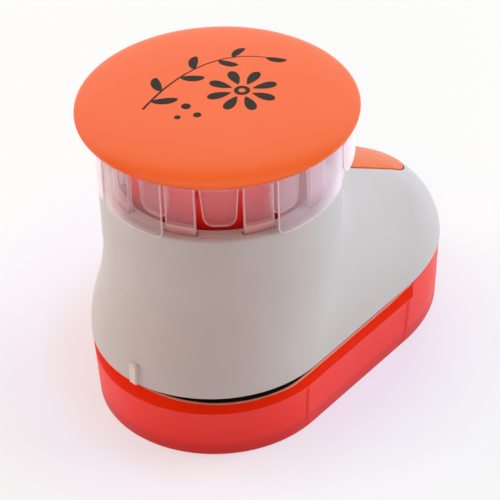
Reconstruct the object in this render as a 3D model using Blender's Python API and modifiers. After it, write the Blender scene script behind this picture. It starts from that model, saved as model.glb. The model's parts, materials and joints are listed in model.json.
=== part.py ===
"""A flower craft punch: a palm button, a force lever, a die set and a chip tray.

Units are metres and +Z is up. The paper goes in at the front, which is -Y, and the lever's
housing is at the rear. The origin is under the middle of the whole punch, on the table.
"""

from collections import namedtuple
from math import asin, atan2, cos, hypot, pi, radians, sin, sqrt

import bmesh
import bpy
from mathutils import Vector

PART_NAME = "flower_craft_punch"

# Fits that many pieces share
seat_gap = 0.0003
running_gap = 0.00015
cut_overrun = 0.002
weld_distance = 0.000001

# Housing: a round neck in front, a lever hump behind
neck_waist_radius = 0.0295
lobe_spread = 0.0025
lobe_shift = 0.0037
tail_reach = 0.0724
tail_half_width = 0.0290
tail_axis = 0.0370
ridge_half_width = 0.0100
ridge_nose_axis = 0.0045
housing_bottom = 0.0196
neck_rim_height = 0.0652
housing_wall = 0.0015
boss_radius = 0.0032
front_boss_radius = 0.0040
front_boss_height = 0.0110
rib_x = 0.0020
rib_half_width = 0.0010
rib_height = 0.0061
rib_proud = 0.0006
rib_root = 0.0008

# Orange cover let into the top of the hump
cover_front = 0.0312
cover_setback = 0.0064
cover_half_width = 0.0084
cover_proud = 0.0003
cover_depth = 0.0026

# Button, its clear sleeve and the red plunger inside it
button_radius = 0.0350
button_rim_height = 0.0834
button_crown = 0.00275
button_underside_drop = 0.0014
button_travel = 0.0090
sleeve_inset = 0.0015
sleeve_flute = 0.0028
sleeve_wall = 0.0012
flange_reach = 0.0050
flange_wall = 0.0012
flange_web = 0.0015
flange_drop = 0.0065
tongue_drop = 0.0157
plunger_bottom = 0.0580
plunger_wall = 0.0015
plunger_roof = 0.0027
plunger_lip = 0.0012
plunger_lip_inset = 0.0010
foot_half_width = 0.0040
foot_half_length = 0.0025

# Lever and the pins it works on
pivot_setback = 0.0264
pivot_boss_radius = 0.0050
elbow_y = 0.0240
elbow_rise = 0.0068
elbow_radius = 0.0036
lever_nose_y = -0.0200
lever_nose_rise = 0.0125
lever_nose_radius = 0.0032
lever_half_thickness = 0.0020
lever_passage = 0.0045
pivot_pin_radius = 0.0020
link_pin_radius = 0.0015
link_slot_half_length = 0.0029
link_slot_play = 0.00035
pin_overhang = 0.0008
pin_head_radius = 0.0030
pin_head_height = 0.0010
clip_radius = 0.0034
clip_width = 0.0008

# Bracket that carries the lever
bracket_half_length = 0.0070
bracket_half_width = 0.0105
bracket_base = 0.0020
ear_thickness = 0.0025
ear_half_width = 0.0040
ear_gap = 0.0003
bracket_screw_x = 0.0078

# Ram, its guide posts and its springs
ram_half_width = 0.0245
ram_half_depth = 0.0110
ram_bottom = 0.0340
ram_thickness = 0.0030
ram_corner = 0.0030
ram_ear_half_depth = 0.0035
ram_ear_margin = 0.0033
post_x = 0.0210
post_radius = 0.0020
post_collar_radius = 0.0032
post_collar_height = 0.0010
post_top_margin = 0.0070
spring_radius = 0.0036
spring_wire = 0.0006
spring_turns = 4.5

# Die set: the plates above and below the paper
die_half_width = 0.0250
die_half_depth = 0.0200
die_centre_y = -0.0010
die_thickness = 0.0019
die_corner = 0.0030
guide_thickness = 0.0018
guide_rear = 0.0257
stop_depth = 0.0052
stop_half_width = 0.0240
slot_height = 0.0022
die_screw_x = 0.0180
guide_screw_x = 0.0215
guide_screw_y = -0.0155

# Motif that the punch cuts
cutter_clearance = 0.00025
cutter_pad = 0.0025
cutter_pad_overlap = 0.0004
flower_x = -0.0070
flower_y = 0.0008
flower_pad_radius = 0.0083
petal_ring = 0.0049
petal_length = 0.0048
petal_width = 0.0031
petal_count = 6
flower_heart = 0.0014
sprig_left = 0.0017
sprig_right = 0.0160
sprig_half_depth = 0.0105
leaf_length = 0.0058
leaf_width = 0.0026
berry_radius = 0.0009

# Lower jaw: the red base that carries the die set and the lever bracket
jaw_top = 0.0174
band_height = 0.0028
jaw_bottom = 0.0126
jaw_inset = 0.0015
block_height = 0.0046
block_front = 0.0260
band_end = 0.0385
pocket_floor = 0.0149
ledge_width = 0.0030
front_screw_x = 0.0200
front_screw_y = 0.0320
rear_screw_x = 0.0130
rear_screw_setback = 0.0174

# Chip tray that slides off downwards
tray_inset = 0.0012
tray_draft = 0.0010
tray_wall = 0.0018
tray_floor = 0.0016
tray_foot_inset = 0.0007
tray_foot_height = 0.0008
tray_rib_half_width = 0.0006
tray_rib_depth = 0.0009

# Bump stop ring in the neck
stop_ring_height = 0.0025
stop_ring_width = 0.0029
ledge_drop = 0.0015
ledge_reach = 0.0016

# Screws
screw_radius = 0.0011
screw_play = 0.0003
screw_head_radius = 0.0022
screw_head_height = 0.0013
recess_radius = 0.0009
recess_depth = 0.0008
housing_screw_length = 0.0170
guide_screw_length = 0.0090
die_screw_length = 0.0075
bracket_screw_length = 0.0080

# Counts of segments and points
round_steps = 64
hidden_steps = 36
small_steps = 20
screw_steps = 10
recess_sides = 6
petal_points = 10
flute_count = 9
coil_points = 10
cover_arc_steps = 16
crown_steps = 10
strap_steps = 10
corner_steps = 4
halvings = 50

# Angles in degrees
flute_turn = -26.1
crease_angle = 35.0
wire_crease_angle = 60.0

# Rays that draw each plan of the housing: from one angle to another off the front, in how many
ray_spans = ((0.0, 120.0, 16), (120.0, 165.0, 10), (165.0, 180.0, 6))

# Shapes given as shares of the size that they belong to
pivot_height_share = 0.338
crown_flatness = 3.0
rim_under_share = 0.33
rim_tuck_share = 0.5
leaf_point_share = 0.35

# A flute's corners round its own share of the circle, each on the proud face or the sunk one
flute_shares = (
    (-0.212, 1),
    (0.000, 1),
    (0.212, 1),
    (0.232, 0),
    (0.400, 0),
    (0.600, 0),
    (0.768, 0),
)
key_shares = (
    (-0.170, 1),
    (0.000, 1),
    (0.170, 1),
    (0.190, 0),
    (0.400, 0),
    (0.600, 0),
    (0.810, 0),
)

# Where the gaps between the sleeve's fingers, the ends of its tongues and the collar's slots run
finger_gap_shares = ((0.205, 0.250), (0.750, 0.795))
tongue_end_shares = (0.228, 0.400, 0.600, 0.772)
collar_slot_shares = (-0.222, 0.000, 0.222)

# Sizes that follow from the ones above
lobe_radius = neck_waist_radius + lobe_spread
tray_radius = lobe_radius - tray_inset
front_reach = lobe_radius + lobe_shift + rib_proud
neck_y = (front_reach - tail_reach) / 2
body_height = neck_rim_height - housing_bottom
cover_nose = tail_reach - cover_setback
pivot_y = tail_reach - pivot_setback
pivot_height = housing_bottom + pivot_height_share * body_height
elbow_height = pivot_height + elbow_rise
lever_nose_height = pivot_height + lever_nose_rise
front_screw = (front_screw_x, front_screw_y)
rear_screw = (rear_screw_x, tail_reach - rear_screw_setback)
button_underside = button_rim_height - button_underside_drop
plunger_top = button_underside - seat_gap
sleeve_radius = neck_waist_radius - sleeve_inset
sleeve_sunk = sleeve_radius - sleeve_flute
sleeve_inner = sleeve_sunk - sleeve_wall
sleeve_bottom = plunger_bottom + plunger_lip + seat_gap
plunger_radius = sleeve_inner - seat_gap
plunger_lip_radius = sleeve_radius - plunger_lip_inset
key_radius = sleeve_radius - sleeve_wall - seat_gap
flange_radius = sleeve_radius + flange_reach
finger_root = neck_rim_height + button_travel + seat_gap
tongue_bottom = plunger_top - tongue_drop
foot_bottom = lever_nose_height + lever_nose_radius + seat_gap
ram_top = ram_bottom + ram_thickness
slot_y_share = elbow_y / (elbow_y - lever_nose_y)
link_height = elbow_height + slot_y_share * (lever_nose_height - elbow_height)
guide_bottom = jaw_top + slot_height + seat_gap
guide_top = guide_bottom + guide_thickness
cutter_bottom = guide_bottom + seat_gap
cutter_top = ram_bottom - seat_gap
post_collar_top = guide_top + seat_gap + post_collar_height
spring_bottom = post_collar_top + seat_gap
spring_top = ram_bottom - seat_gap
block_top = jaw_top + block_height
band_bottom = jaw_top - band_height
tray_top = band_bottom - seat_gap
tray_rear_top = housing_bottom - seat_gap
stop_ring_top = plunger_bottom - button_travel - seat_gap
stop_ring_bottom = stop_ring_top - stop_ring_height
bracket_bottom = block_top + seat_gap
bracket_top = bracket_bottom + bracket_base
ear_inner = lever_half_thickness + ear_gap
ear_outer = ear_inner + ear_thickness
screw_hole = screw_radius + screw_play
beyond = tail_reach + cut_overrun
die_screw_y = guide_rear - stop_depth / 2
boss_bottom = block_top + seat_gap
front_boss_bottom = guide_top + seat_gap

Plan = namedtuple("Plan", "radius shift tail half axis")

# Each level of the housing: its height up the body, how far the front lobe has spread from the
# waist, how far that lobe has moved forward, how far the tail reaches behind the neck, and how
# far the tail's width and its rounding have grown from the ridge's own
level_shares = (
    (0.000, 1.00, 1.00, 1.000, 1.000, 1.000),
    (0.053, 1.00, 0.97, 0.995, 0.960, 0.960),
    (0.118, 0.96, 0.90, 0.974, 0.890, 0.910),
    (0.184, 0.84, 0.78, 0.939, 0.750, 0.770),
    (0.250, 0.68, 0.62, 0.886, 0.540, 0.540),
    (0.294, 0.56, 0.50, 0.837, 0.360, 0.320),
    (0.338, 0.44, 0.38, 0.769, 0.180, 0.140),
    (0.393, 0.32, 0.25, 0.685, 0.070, 0.050),
    (0.458, 0.16, 0.12, 0.569, 0.015, 0.010),
    (0.513, 0.00, 0.00, 0.469, 0.000, 0.000),
    (0.579, 0.04, 0.00, 0.347, 0.000, 0.000),
    (0.645, 0.08, 0.00, 0.226, 0.000, 0.000),
    (0.711, 0.12, 0.00, 0.107, 0.000, 0.000),
    (0.776, 0.17, 0.00, 0.000, 0.000, 0.000),
    (1.000, 0.36, 0.00, 0.000, 0.000, 0.000),
)

# Leaves and berries of the sprig: place across and along its pad, and the way each leaf points
leaf_shares = (
    (0.32, 0.60, 35.0),
    (0.74, 0.44, -20.0),
    (0.28, -0.10, 15.0),
    (0.73, -0.20, -40.0),
    (0.36, -0.68, 60.0),
)
berry_shares = (
    (0.86, 0.86),
    (0.80, -0.72),
)


def make_collection(name):
    made = bpy.data.collections.new(name)
    bpy.context.scene.collection.children.link(made)
    return made


def clear_scene():
    for thing in list(bpy.data.objects):
        bpy.data.objects.remove(thing, do_unlink=True)


clear_scene()
PARTS = make_collection(PART_NAME)
CUTTERS = make_collection("cutters")


# Materials

def make_material(name, colour, roughness, metallic=0.0, alpha=1.0):
    made = bpy.data.materials.new(name)
    made.use_nodes = True
    made.diffuse_color = (*colour, alpha)
    shader = made.node_tree.nodes["Principled BSDF"]
    shader.inputs["Base Color"].default_value = (*colour, 1.0)
    shader.inputs["Roughness"].default_value = roughness
    shader.inputs["Metallic"].default_value = metallic
    shader.inputs["Alpha"].default_value = alpha
    return made


GREY = make_material("grey_plastic", (0.50, 0.48, 0.46), 0.45)
CORAL = make_material("coral_plastic", (0.93, 0.20, 0.07), 0.30)
ORANGE = make_material("orange_plastic", (0.95, 0.22, 0.04), 0.35)
CLEAR = make_material("clear_plastic", (0.85, 0.85, 0.90), 0.05, alpha=0.3)
PLUNGER_RED = make_material("plunger_red", (0.75, 0.06, 0.06), 0.35)
JAW_RED = make_material("jaw_red", (0.85, 0.05, 0.02), 0.35)
TRAY_RED = make_material("tray_red", (0.80, 0.06, 0.04), 0.40, alpha=0.75)
BLACK = make_material("black_plastic", (0.02, 0.02, 0.02), 0.50)
STEEL = make_material("plate_steel", (0.55, 0.56, 0.58), 0.30, metallic=1.0)
ZINC = make_material("zinc_steel", (0.60, 0.60, 0.58), 0.35, metallic=1.0)
SPRING = make_material("spring_steel", (0.45, 0.45, 0.47), 0.25, metallic=1.0)


# Objects and modifiers

def add_object(name, data, material=None):
    made = bpy.data.objects.new(name, data)
    if material is None:
        CUTTERS.objects.link(made)
        made.hide_render = True
        made.display_type = "WIRE"
    else:
        PARTS.objects.link(made)
        data.materials.append(material)
    return made


def mesh_object(name, shape, material=None):
    mesh = bpy.data.meshes.new(name)
    shape.to_mesh(mesh)
    shape.free()
    return add_object(name, mesh, material)


def smooth(thing, angle=crease_angle):
    thing.data.shade_smooth()
    thing.data.set_sharp_from_angle(angle=radians(angle))
    return thing


def boolean(target, tool, operation):
    step = target.modifiers.new(tool.name, "BOOLEAN")
    step.object = tool
    step.operation = operation
    step.solver = "EXACT"
    return target


def cut(target, tool):
    return boolean(target, tool, "DIFFERENCE")


def join(target, tool):
    return boolean(target, tool, "UNION")


def keep_within(target, tool):
    return boolean(target, tool, "INTERSECT")


def box(name, low, high, material=None):
    """A box between two corners, given from the neck's axis."""
    shape = bmesh.new()
    bmesh.ops.create_cube(shape, size=1.0)
    size = Vector(high) - Vector(low)
    middle = (Vector(high) + Vector(low)) / 2
    for vert in shape.verts:
        vert.co = Vector(a * b for a, b in zip(vert.co, size)) + middle
    made = mesh_object(name, shape, material)
    made.location.y = neck_y
    return made


def cylinder(name, centre, radius, bottom, top, steps=small_steps, top_radius=None, material=None):
    """An upright cylinder or cone at a place given from the neck's axis."""
    shape = bmesh.new()
    bmesh.ops.create_cone(
        shape,
        cap_ends=True,
        segments=steps,
        radius1=radius,
        radius2=radius if top_radius is None else top_radius,
        depth=top - bottom,
    )
    made = mesh_object(name, shape, material)
    made.location = (centre[0], neck_y + centre[1], (bottom + top) / 2)
    return made


def cross_cylinder(name, y, z, radius, half_length, steps=small_steps, material=None):
    """A cylinder along X, centred on the punch's middle plane."""
    made = cylinder(name, (0.0, y), radius, -half_length, half_length, steps, material=material)
    made.location.z = z
    made.rotation_euler = (0.0, pi / 2, 0.0)
    return made


def turned(name, profile, centre=(0.0, 0.0), steps=round_steps, material=None):
    """A profile of (radius, height) turned about an upright axis, outer side from top to bottom."""
    mesh = bpy.data.meshes.new(name)
    closed = profile[0][0] > 0.0
    count = len(profile)
    edges = [(i, (i + 1) % count) for i in range(count if closed else count - 1)]
    mesh.from_pydata([(radius, 0.0, z) for radius, z in profile], edges, [])
    made = add_object(name, mesh, material)
    made.location = (centre[0], neck_y + centre[1], 0.0)
    screw = made.modifiers.new("turn", "SCREW")
    screw.axis = "Z"
    screw.angle = 2 * pi
    screw.steps = steps
    screw.render_steps = steps
    screw.use_merge_vertices = True
    screw.merge_threshold = weld_distance
    screw.use_smooth_shade = True
    return made


def plate(name, loops, bottom, top, material=None, upright=False):
    """Flat outlines given extent: the first is the edge, the rest are holes or further islands."""
    curve = bpy.data.curves.new(name, "CURVE")
    curve.dimensions = "2D"
    curve.fill_mode = "BOTH"
    curve.extrude = (top - bottom) / 2
    for loop in loops:
        spline = curve.splines.new("POLY")
        spline.points.add(len(loop) - 1)
        for point, (x, y) in zip(spline.points, loop):
            point.co = (x, y, 0.0, 1.0)
        spline.use_cyclic_u = True
    drawn = bpy.data.objects.new(name + "_curve", curve)
    CUTTERS.objects.link(drawn)
    if upright:
        drawn.location = ((bottom + top) / 2, neck_y, 0.0)
        drawn.rotation_euler = (pi / 2, 0.0, pi / 2)
    else:
        drawn.location = (0.0, neck_y, (bottom + top) / 2)
    return meshed(name, drawn, material)


def meshed(name, drawn, material):
    """The mesh of a curve object, its caps welded, in place of the curve."""
    graph = bpy.context.evaluated_depsgraph_get()
    mesh = bpy.data.meshes.new_from_object(drawn.evaluated_get(graph))
    mesh.name = name
    shape = bmesh.new()
    shape.from_mesh(mesh)
    bmesh.ops.remove_doubles(shape, verts=shape.verts, dist=weld_distance)
    shape.to_mesh(mesh)
    shape.free()
    mesh.materials.clear()
    made = add_object(name, mesh, material)
    made.matrix_world = drawn.matrix_world
    bpy.data.objects.remove(drawn, do_unlink=True)
    return made


def loft(name, rings, capped, material=None):
    """Sides between rings of equal counts, lowest first, each running anticlockwise from above."""
    shape = bmesh.new()
    rows = [[shape.verts.new(point) for point in ring] for ring in rings]
    for low, high in zip(rows, rows[1:]):
        for i, vert in enumerate(low):
            after = (i + 1) % len(low)
            shape.faces.new((vert, low[after], high[after], high[i]))
    if capped:
        shape.faces.new(reversed(rows[0]))
        shape.faces.new(rows[-1])
    made = mesh_object(name, shape, material)
    made.location.y = neck_y
    return made


# Outlines

def mirrored_y(points):
    """The right half of a loop, front to rear, with its left half added."""
    left = [(-x, y) for x, y in reversed(points[1:-1])]
    return list(points) + left


def ray_angles():
    """Half turns from the front to the rear, closer together towards the narrow tail."""
    angles = [0.0]
    for first, last, count in ray_spans:
        angles += [first + (last - first) * (i + 1) / count for i in range(count)]
    return [radians(angle) for angle in angles]


def tangent_turn(plan):
    """The direction in which the line that touches lobe and tail faces."""
    middle = plan.tail - plan.axis + plan.shift
    low, high = -pi / 2, pi / 2
    for _ in range(halvings):
        turn = (low + high) / 2
        reach = middle * sin(turn) + hypot(plan.half * cos(turn), plan.axis * sin(turn))
        if plan.radius > reach:
            low = turn
        else:
            high = turn
    return turn


def plan_reach(plan, angle):
    """How far a plan reaches from the neck's axis, at an angle from the front."""
    across, back = sin(angle), -cos(angle)
    lobe = -plan.shift * back + sqrt((plan.shift * back) ** 2 + plan.radius ** 2 - plan.shift ** 2)
    if plan.tail <= plan.radius - plan.shift:
        return lobe
    turn = tangent_turn(plan)
    middle = plan.tail - plan.axis
    spread = hypot(plan.half * cos(turn), plan.axis * sin(turn))
    first = (plan.radius * cos(turn), plan.radius * sin(turn) - plan.shift)
    last = (plan.half ** 2 * cos(turn) / spread, middle + plan.axis ** 2 * sin(turn) / spread)
    if angle <= atan2(first[0], -first[1]):
        return lobe
    if angle <= atan2(last[0], -last[1]):
        offset = first[0] * cos(turn) + first[1] * sin(turn)
        return offset / (across * cos(turn) + back * sin(turn))
    a = (across / plan.half) ** 2 + (back / plan.axis) ** 2
    b = -2 * back * middle / plan.axis ** 2
    c = (middle / plan.axis) ** 2 - 1
    return (-b + sqrt(b * b - 4 * a * c)) / (2 * a)


def plan_loop(plan):
    half = [(plan_reach(plan, a) * sin(a), -plan_reach(plan, a) * cos(a)) for a in ray_angles()]
    half[0] = (0.0, half[0][1])
    half[-1] = (0.0, half[-1][1])
    return mirrored_y(half)


def plan_ring(plan, height):
    return [(x, y, height) for x, y in plan_loop(plan)]


def grown(plan, by):
    return Plan(plan.radius + by, plan.shift, plan.tail + by, plan.half + by, plan.axis + by)


def rounded_box(half_x, half_y, corner, centre=(0.0, 0.0)):
    loop = []
    for quarter, (sx, sy) in enumerate(((1, 1), (-1, 1), (-1, -1), (1, -1))):
        for i in range(corner_steps + 1):
            turn = (quarter + i / corner_steps) * pi / 2
            x = centre[0] + sx * (half_x - corner) + corner * cos(turn)
            y = centre[1] + sy * (half_y - corner) + corner * sin(turn)
            loop.append((x, y))
    return loop


def circle_loop(centre, radius, points):
    turns = [2 * pi * i / points for i in range(points)]
    return [(centre[0] + radius * cos(t), centre[1] + radius * sin(t)) for t in turns]


def oval_loop(centre, length, width, turn, points, pointed=0.0):
    """A petal or leaf: an oval along a direction, drawn to a point at both ends if asked."""
    loop = []
    for i in range(points):
        t = 2 * pi * i / points
        along = length / 2 * cos(t)
        across = width / 2 * sin(t) * (1 - pointed * cos(t) ** 2)
        x = centre[0] + along * cos(turn) - across * sin(turn)
        y = centre[1] + along * sin(turn) + across * cos(turn)
        loop.append((x, y))
    return loop


def strap_loop(first, last):
    """The outline round two discs, each (y, z, radius), with straight sides that touch both."""
    along = atan2(last[1] - first[1], last[0] - first[0])
    apart = hypot(last[0] - first[0], last[1] - first[1])
    lean = asin((first[2] - last[2]) / apart)
    loop = []
    for i in range(strap_steps + 1):
        turn = along + pi / 2 - lean + i / strap_steps * (pi + 2 * lean)
        loop.append((first[0] + first[2] * cos(turn), first[1] + first[2] * sin(turn)))
    for i in range(strap_steps + 1):
        turn = along - pi / 2 + lean + i / strap_steps * (pi - 2 * lean)
        loop.append((last[0] + last[2] * cos(turn), last[1] + last[2] * sin(turn)))
    return loop


# Motif

def flower_loops(grow):
    loops = []
    for i in range(petal_count):
        turn = 2 * pi * i / petal_count + pi / petal_count
        centre = (flower_x + petal_ring * cos(turn), flower_y + petal_ring * sin(turn))
        loops.append(
            oval_loop(centre, petal_length + 2 * grow, petal_width + 2 * grow, turn, petal_points)
        )
    loops.append(circle_loop((flower_x, flower_y), flower_heart + grow, petal_points))
    return loops


def sprig_place(across_share, along_share):
    x = sprig_left + across_share * (sprig_right - sprig_left)
    return (x, die_centre_y + along_share * sprig_half_depth)


def sprig_loops(grow):
    loops = []
    for across_share, along_share, angle in leaf_shares:
        centre = sprig_place(across_share, along_share)
        length = leaf_length + 2 * grow
        width = leaf_width + 2 * grow
        loops.append(oval_loop(centre, length, width, radians(angle), petal_points, leaf_point_share))
    for across_share, along_share in berry_shares:
        centre = sprig_place(across_share, along_share)
        loops.append(circle_loop(centre, berry_radius + grow, petal_points))
    return loops


# Housing

def body_levels():
    levels = []
    for up, spread, forward, back, wide, round_ in level_shares:
        plan = Plan(
            neck_waist_radius + spread * (lobe_radius - neck_waist_radius),
            forward * lobe_shift,
            neck_waist_radius + back * (tail_reach - neck_waist_radius),
            ridge_half_width + wide * (tail_half_width - ridge_half_width),
            ridge_nose_axis + round_ * (tail_axis - ridge_nose_axis),
        )
        levels.append((plan, housing_bottom + up * body_height))
    return levels


def body_rings():
    return [plan_ring(plan, height) for plan, height in body_levels()]


def body_block(name, raised):
    """The whole outer form as a solid tool, moved up or down."""
    block = loft(name, body_rings(), capped=True)
    block.location.z = raised
    return block


def cover_loop(grow):
    """The cover's plan: straight sides and a half-round nose at the rear."""
    half = cover_half_width + grow
    middle = cover_nose - cover_half_width
    front = cover_front - grow
    arc = [pi * i / cover_arc_steps for i in range(cover_arc_steps + 1)]
    loop = [(half * cos(turn), middle + half * sin(turn)) for turn in arc]
    return [(half, front)] + loop + [(-half, front)]


def screw_places():
    """Where the four screws that hold the housing to the jaw stand."""
    return [(s * x, y) for x, y in (front_screw, rear_screw) for s in (-1, 1)]


def add_rear_bosses(shell):
    limit = body_block("boss_limit", -seat_gap)
    for i, place in enumerate(screw_places()):
        boss = cylinder(f"rear_boss_{i}", place, boss_radius, boss_bottom, neck_rim_height)
        keep_within(boss, limit)
        join(shell, boss)


def add_front_bosses(shell):
    top = front_boss_bottom + front_boss_height
    for side in (-1, 1):
        place = (side * guide_screw_x, guide_screw_y)
        join(shell, cylinder(f"front_boss_{side}", place, front_boss_radius, front_boss_bottom, top))


def drill_housing(shell):
    top = jaw_bottom + housing_screw_length + screw_play
    for i, place in enumerate(screw_places()):
        cut(shell, cylinder(f"rear_pilot_{i}", place, screw_hole, jaw_bottom, top, screw_steps))
    top = guide_bottom + guide_screw_length + screw_play
    for side in (-1, 1):
        place = (side * guide_screw_x, guide_screw_y)
        cut(shell, cylinder(f"front_pilot_{side}", place, screw_hole, jaw_top, top, screw_steps))


def add_collar(shell):
    """A ring inside the neck's rim, with a slot for each of the sleeve's long fingers."""
    outer = circle_loop((0.0, 0.0), neck_waist_radius - housing_wall / 2, round_steps)
    inner = circle_loop((0.0, 0.0), sleeve_sunk + seat_gap, round_steps)
    slots = arc_loops(collar_slot_shares, key_radius, sleeve_radius + seat_gap)
    join(shell, plate("neck_collar", [outer, inner] + slots, sleeve_bottom, neck_rim_height))


def add_stop_ledge(shell):
    """A ledge inside the neck that the stop ring rests on."""
    wall_middle = neck_waist_radius - housing_wall / 2
    top = stop_ring_bottom - seat_gap
    inner = wall_middle - ledge_reach
    profile = [(wall_middle, top), (wall_middle, top - ledge_drop), (inner, top)]
    ledge = turned("stop_ledge", profile)
    passage = box(
        "lever_passage_cut",
        (-lever_passage, 0.0, top - ledge_drop - cut_overrun),
        (lever_passage, neck_waist_radius, top + cut_overrun),
    )
    join(shell, cut(ledge, passage))


def make_housing():
    skirt = plan_ring(body_levels()[0][0], housing_bottom - cut_overrun)
    shell = loft("housing_shell", [skirt] + body_rings(), capped=False, material=GREY)
    wall = shell.modifiers.new("wall", "SOLIDIFY")
    wall.thickness = housing_wall
    wall.offset = -1.0
    wall.use_even_offset = True
    cut(shell, box("foot_cut", (-beyond, -beyond, 0.0), (beyond, beyond, housing_bottom)))
    top = neck_rim_height + cut_overrun
    cut(shell, box("rim_cut", (-beyond, -beyond, neck_rim_height), (beyond, beyond, top)))
    add_collar(shell)
    add_stop_ledge(shell)
    front = lobe_radius + lobe_shift
    rib = box(
        "front_rib",
        (rib_x - rib_half_width, -front - rib_proud, housing_bottom),
        (rib_x + rib_half_width, -front + rib_root, housing_bottom + rib_height),
    )
    join(shell, rib)
    window = plate("cover_window", [cover_loop(seat_gap)], bracket_top, neck_rim_height)
    cut(shell, window)
    add_rear_bosses(shell)
    add_front_bosses(shell)
    drill_housing(shell)
    smooth(shell)


def make_rear_cover():
    cover = plate("rear_cover", [cover_loop(0.0)], bracket_top, neck_rim_height, ORANGE)
    keep_within(cover, body_block("cover_top", cover_proud))
    cut(cover, body_block("cover_under", -cover_depth))
    smooth(cover)


def make_stop_ring():
    outer = neck_waist_radius - housing_wall - seat_gap
    inner = outer - stop_ring_width
    profile = [
        (outer, stop_ring_top),
        (outer, stop_ring_bottom),
        (inner, stop_ring_bottom),
        (inner, stop_ring_top),
    ]
    turned("stop_ring", profile, steps=hidden_steps, material=BLACK)


# Button, sleeve and plunger

def make_button():
    """A low dome that rolls over evenly to a thin rim."""
    crown = []
    for i in range(crown_steps + 1):
        share = sin(i / crown_steps * pi / 2)
        rise = button_crown * sqrt(1 - share ** crown_flatness)
        crown.append((button_radius * share, button_rim_height + rise))
    under = [
        (button_radius, button_rim_height - rim_under_share * button_underside_drop),
        (button_radius - rim_tuck_share * button_underside_drop, button_underside),
        (0.0, button_underside),
    ]
    smooth(turned("press_button", crown + under, material=CORAL))


def flute_loop(proud, sunk, shares=flute_shares):
    """A ring of upright panels that stand proud and back by turns."""
    loop = []
    for i in range(flute_count):
        for corner_share, stands in shares:
            reach = proud if stands else sunk
            turn = radians(flute_turn) + 2 * pi * (i + corner_share) / flute_count
            loop.append((reach * cos(turn), reach * sin(turn)))
    return loop


def arc_loops(shares, inner, outer):
    """One closed arc in each flute, between two radii and through the given shares of the flute."""
    loops = []
    for i in range(flute_count):
        turns = [radians(flute_turn) + 2 * pi * (i + share) / flute_count for share in shares]
        far = [(outer * cos(turn), outer * sin(turn)) for turn in turns]
        near = [(inner * cos(turn), inner * sin(turn)) for turn in reversed(turns)]
        loops.append(far + near)
    return loops


def make_sleeve():
    """A fluted wall under the button that splits into long fingers, which run down into the
    collar's slots, and short tongues between them."""
    outer = flute_loop(sleeve_radius, sleeve_sunk)
    inner = flute_loop(sleeve_radius - sleeve_wall, sleeve_inner)
    top = plunger_top - flange_web / 2
    sleeve = plate("clear_sleeve", [outer, inner], sleeve_bottom, top, CLEAR)
    low = sleeve_bottom - cut_overrun
    near = sleeve_inner - cut_overrun
    far = sleeve_radius + cut_overrun
    gaps = []
    for shares in finger_gap_shares:
        gaps += arc_loops(shares, near, far)
    cut(sleeve, plate("finger_gaps", gaps, low, finger_root))
    ends = arc_loops(tongue_end_shares, near, far)
    cut(sleeve, plate("tongue_ends", ends, low, tongue_bottom))
    drop = plunger_top - flange_drop
    step = plunger_top - flange_web
    flange = turned(
        "sleeve_flange",
        [
            (flange_radius, plunger_top),
            (flange_radius, drop),
            (flange_radius - flange_wall, drop),
            (flange_radius - flange_wall, step),
            (sleeve_inner, step),
            (sleeve_inner, plunger_top),
        ],
    )
    join(sleeve, flange)
    smooth(sleeve)


def make_plunger():
    """The red cup under the button: a lip that holds it up against the neck's collar, keys that
    lock it into the sleeve's flutes above the fingers, and the foot that bears on the lever."""
    inner = plunger_radius - plunger_wall
    roof = plunger_top - plunger_roof
    cup = turned(
        "button_plunger",
        [
            (0.0, plunger_top),
            (plunger_radius, plunger_top),
            (plunger_radius, plunger_bottom + plunger_lip),
            (plunger_lip_radius, plunger_bottom + plunger_lip),
            (plunger_lip_radius, plunger_bottom),
            (inner, plunger_bottom),
            (inner, roof),
            (0.0, roof),
        ],
        steps=hidden_steps,
        material=PLUNGER_RED,
    )
    foot = box(
        "plunger_foot",
        (-foot_half_width, lever_nose_y - foot_half_length, foot_bottom),
        (foot_half_width, lever_nose_y + foot_half_length, plunger_top - plunger_roof / 2),
    )
    join(cup, foot)
    rim = [flute_loop(key_radius, plunger_radius - plunger_wall / 2, key_shares)]
    top = plunger_top - flange_web - seat_gap
    keys = plate("plunger_keys", rim, finger_root, top)
    core = cylinder("key_core", (0.0, 0.0), inner, finger_root - cut_overrun, roof, hidden_steps)
    join(cup, cut(keys, core))
    smooth(cup)


# Lever and bracket

def make_lever():
    pivot = (pivot_y, pivot_height, pivot_boss_radius)
    elbow = (elbow_y, elbow_height, elbow_radius)
    nose = (lever_nose_y, lever_nose_height, lever_nose_radius)
    half = lever_half_thickness
    lever = plate("force_lever", [strap_loop(pivot, elbow)], -half, half, ZINC, upright=True)
    front = plate("lever_front", [strap_loop(elbow, nose)], -half, half, upright=True)
    join(lever, front)
    reach = lever_half_thickness + cut_overrun
    cut(lever, cross_cylinder("pivot_bore", pivot_y, pivot_height, pivot_pin_radius + running_gap, reach))
    slot_radius = link_pin_radius + link_slot_play
    spread = link_slot_half_length - slot_radius
    slot = strap_loop((-spread, link_height, slot_radius), (spread, link_height, slot_radius))
    cut(lever, plate("link_slot", [slot], -reach, reach, upright=True))
    smooth(lever)


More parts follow.
